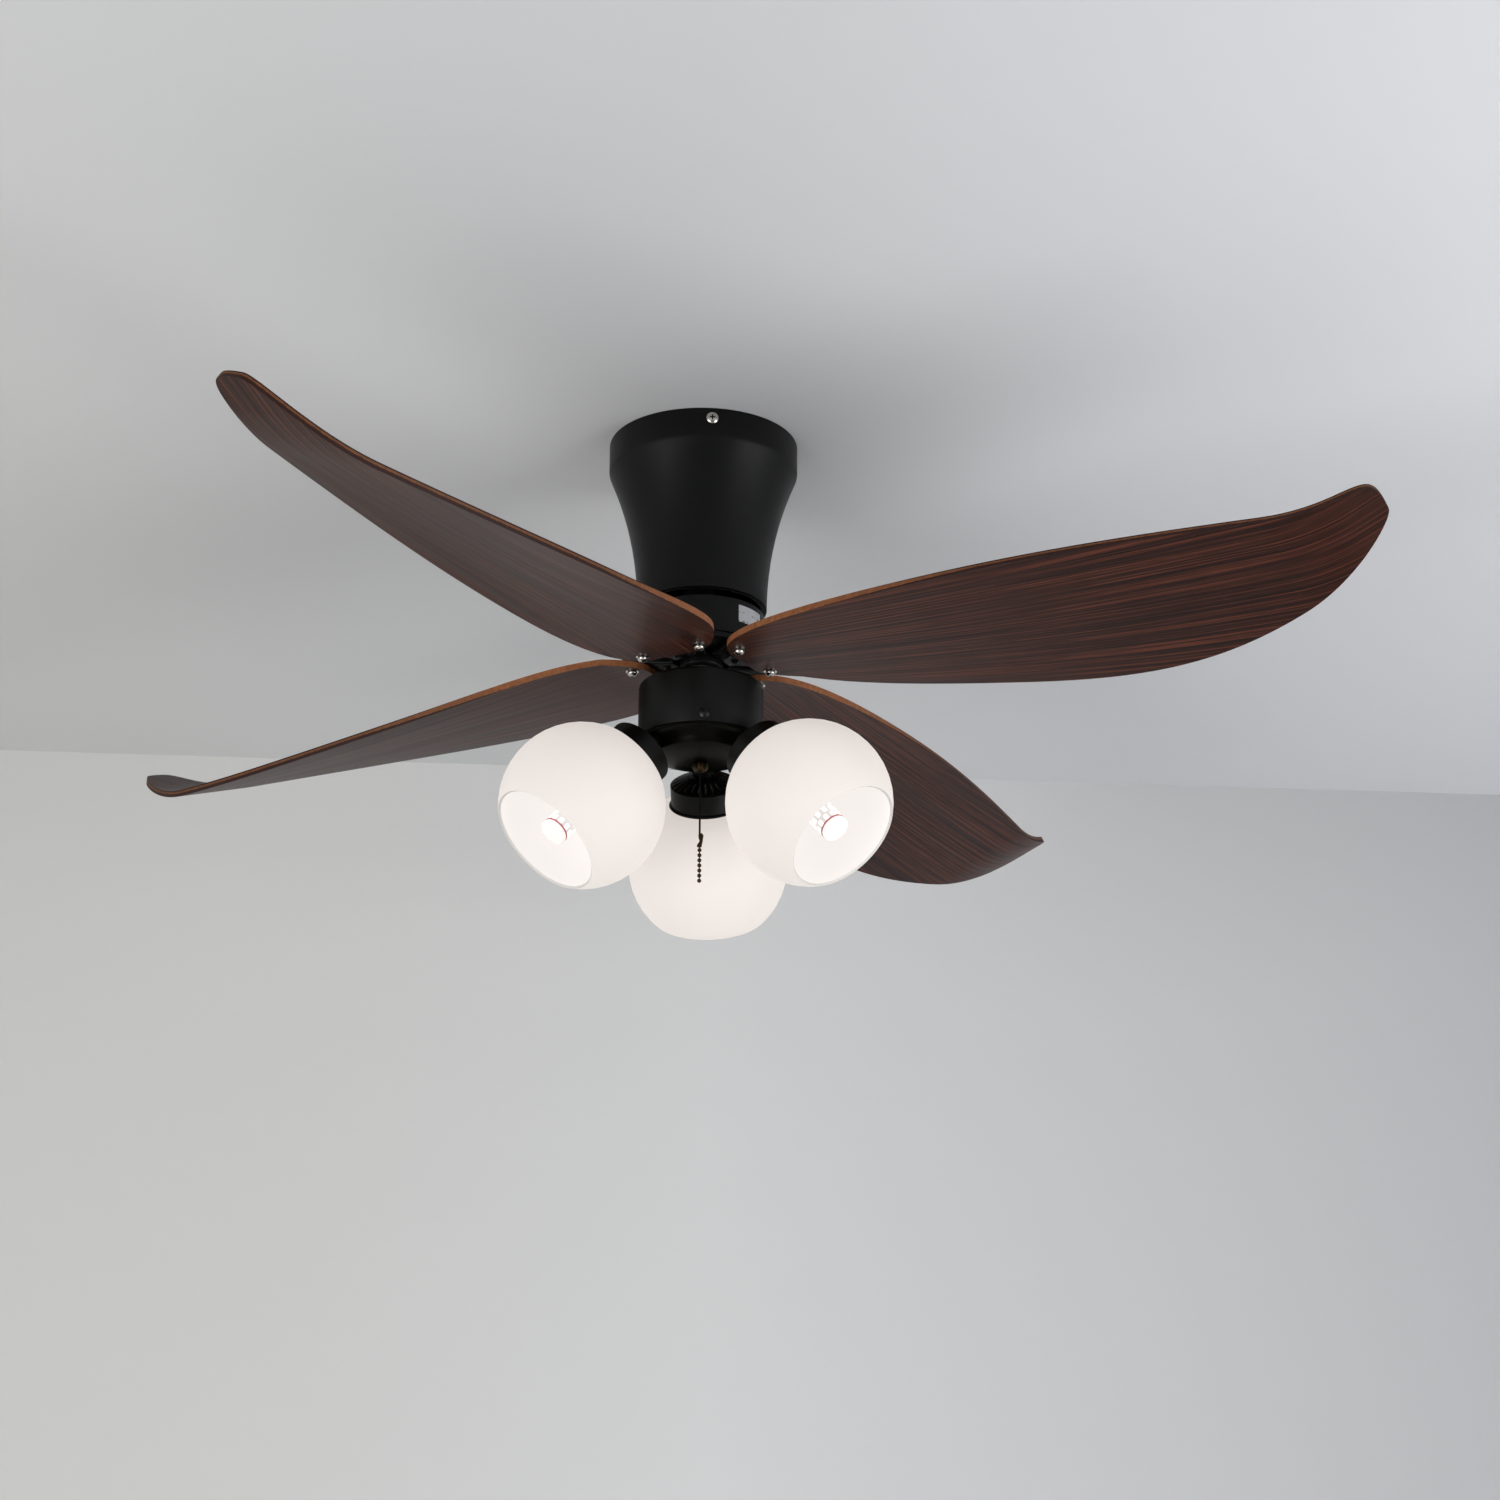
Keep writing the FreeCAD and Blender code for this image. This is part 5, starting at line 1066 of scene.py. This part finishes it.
# Enamelled copper wire: red-brown varnish with the ribs of the turns.
wound_copper = blank_material("enamelled_copper_wire")
place = add(wound_copper, "ShaderNodeTexCoord")
wires = add(wound_copper, "ShaderNodeTexWave", {"Vector": place.outputs["Object"], "Scale": 60.0,
            "Distortion": 1.0}, wave_type="RINGS", rings_direction="Z")
bump = add(wound_copper, "ShaderNodeBump", {"Height": wires.outputs["Fac"], "Strength": 0.6,
           "Distance": 0.0004})
surface = add(wound_copper, "ShaderNodeBsdfPrincipled", {
    "Base Color": from_hex("#8a4a2a"), "Metallic": 0.5, "Roughness": 0.35, "Normal": bump.outputs["Normal"]})
add(wound_copper, "ShaderNodeOutputMaterial", {"Surface": surface.outputs[0]})
# Black ABS: moulded boxes and clamping rings, lightly spark-eroded.
black_abs = blank_material("moulded_abs_black")
place = add(black_abs, "ShaderNodeTexCoord")
spark = add(black_abs, "ShaderNodeTexNoise", {"Vector": place.outputs["Object"], "Scale": 1200.0})
bump = add(black_abs, "ShaderNodeBump", {"Height": spark.outputs["Fac"], "Strength": 0.2,
           "Distance": 0.0001})
surface = add(black_abs, "ShaderNodeBsdfPrincipled", {
    "Base Color": from_hex("#1b1b1c"), "Roughness": 0.55, "Normal": bump.outputs["Normal"]})
add(black_abs, "ShaderNodeOutputMaterial", {"Surface": surface.outputs[0]})

HIDDEN = {
    "ceiling_plate": zinc_plate, "down_rod": zinc_plate, "rod_pins": zinc_plate, "shaft_nut": zinc_plate,
    "motor_yoke": zinc_plate, "motor_shaft": turned_steel, "bearings": turned_steel,
    "stator_core": laminated, "rotor_cage": laminated, "stator_windings": wound_copper,
    "receiver_box": black_abs, "capacitor": black_abs, "pull_switch": black_abs,
    "shade_ring_right": black_abs, "shade_ring_back": black_abs, "shade_ring_left": black_abs,
}
for name, material in HIDDEN.items():
    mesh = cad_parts[name].data
    mesh.materials.clear()
    mesh.materials.append(material)

# --- Room ---
# A pale grey ceiling and wall, seen only from inside the room, and a pale floor below. From behind
# a surface lets light and views through, so the fan can also be looked at from above.
WALL_LEFT = (-1.2, 0.8035)
WALL_RIGHT = (1.2, 0.9837)
CEILING_HALF = 6
FLOOR_LEVEL = -2.6
BACKDROP_LIFT = 0.072


def one_sided(name, left_colour, middle_colour, right_colour):
    """Paint that a viewer or light behind the surface passes through, with painted light and shade that
    change softly across the room.
    """
    material = blank_material(name)
    place = add(material, "ShaderNodeTexCoord")
    axes = add(material, "ShaderNodeSeparateXYZ", {"Vector": place.outputs["Object"]})
    across = add(material, "ShaderNodeMapRange", {"Value": axes.outputs["X"], "From Min": WALL_LEFT[0],
                 "From Max": WALL_RIGHT[0]})
    shade = add(material, "ShaderNodeValToRGB", {"Fac": across.outputs["Result"]})
    shade.color_ramp.elements[0].color = from_hex(left_colour)
    shade.color_ramp.elements[1].color = from_hex(right_colour)
    shade.color_ramp.elements.new(0.5).color = from_hex(middle_colour)
    ray = add(material, "ShaderNodeLightPath")
    seen = add(material, "ShaderNodeMath", {0: ray.outputs["Is Camera Ray"], 1: ray.outputs["Is Glossy Ray"]})
    seen = add(material, "ShaderNodeMath", {0: seen.outputs[0], 1: ray.outputs["Is Transmission Ray"]})
    lift = add(material, "ShaderNodeMath", {0: seen.outputs[0], 1: BACKDROP_LIFT}, operation="MULTIPLY")
    paint = add(material, "ShaderNodeBsdfPrincipled", {
        "Base Color": shade.outputs["Color"], "Roughness": 0.9, "Specular IOR Level": 0.2,
        "Emission Color": from_hex("#ffffff"), "Emission Strength": lift.outputs[0]})
    clear = add(material, "ShaderNodeBsdfTransparent")
    facing = add(material, "ShaderNodeNewGeometry")
    surface = add(material, "ShaderNodeMixShader", {
        0: facing.outputs["Backfacing"], 1: paint.outputs[0], 2: clear.outputs[0]})
    add(material, "ShaderNodeOutputMaterial", {"Surface": surface.outputs[0]})
    return material


# The ceiling is painted lighter to the right and the wall darker to the right: painted light and shade across
# the room.
ceiling_paint = one_sided("emulsion_ceiling_grey", "#c9c9c6", "#c7c8ca", "#dadce1")
wall_paint = one_sided("emulsion_wall_grey", "#c0bfba", "#c9c9c9", "#9a9b9d")


def backdrop(name, corners, material):
    bm = bmesh.new()
    bm.faces.new([bm.verts.new(corner) for corner in corners])
    mesh = bpy.data.meshes.new(name)
    bm.to_mesh(mesh)
    bm.free()
    mesh.materials.append(material)
    sheet = bpy.data.objects.new(name, mesh)
    bpy.context.scene.collection.objects.link(sheet)


left, right = Vector((*WALL_LEFT, 0)), Vector((*WALL_RIGHT, 0))
run = (right - left).normalized() * CEILING_HALF
middle = (left + right) / 2
near = Vector((0, -CEILING_HALF, 0))
down = Vector((0, 0, FLOOR_LEVEL))
backdrop("ceiling", [middle - run, middle + run, middle + run + 2 * near, middle - run + 2 * near],
         ceiling_paint)
backdrop("back_wall", [middle - run, middle - run + down, middle + run + down, middle + run], wall_paint)
backdrop("floor", [middle - run + down + 2 * near, middle + run + down + 2 * near, middle + run + down,
                   middle - run + down], wall_paint)

# --- Light ---
# Soft studio light: a grey surround, one large lamp from the front left and a weaker one from the
# right. Both stand below the blades, so the fan's shadows fall up on the ceiling.
SURROUND_STRENGTH = 0.78
world = bpy.data.worlds.new("studio")
bpy.context.scene.world = world
world.use_nodes = True
world.node_tree.nodes["Background"].inputs["Color"].default_value = from_hex("#dfe3ea")
world.node_tree.nodes["Background"].inputs["Strength"].default_value = SURROUND_STRENGTH


def soft_lamp(name, spot, aim, size, power):
    """A soft box at a spot, turned towards its aim; size in metres and power in watts."""
    lamp = bpy.data.lights.new(name, "AREA")
    lamp.shape = "RECTANGLE"
    lamp.size, lamp.size_y = size
    lamp.energy = power
    holder = bpy.data.objects.new(name, lamp)
    holder.matrix_world = (Matrix.Translation(spot)
                           @ (Vector(spot) - Vector(aim)).to_track_quat("Z", "Y").to_matrix().to_4x4())
    bpy.context.scene.collection.objects.link(holder)


soft_lamp("front_left_softbox", (-2.2, -2.6, -1.9), (0, 0, -0.25), (2.2, 1.8), 76)
soft_lamp("right_softbox", (2.0, -1.0, -1.2), (0.3, -0.3, -0.1), (1.6, 1.6), 36)

bpy.context.scene.view_settings.view_transform = "Standard"
bpy.context.view_layer.update()
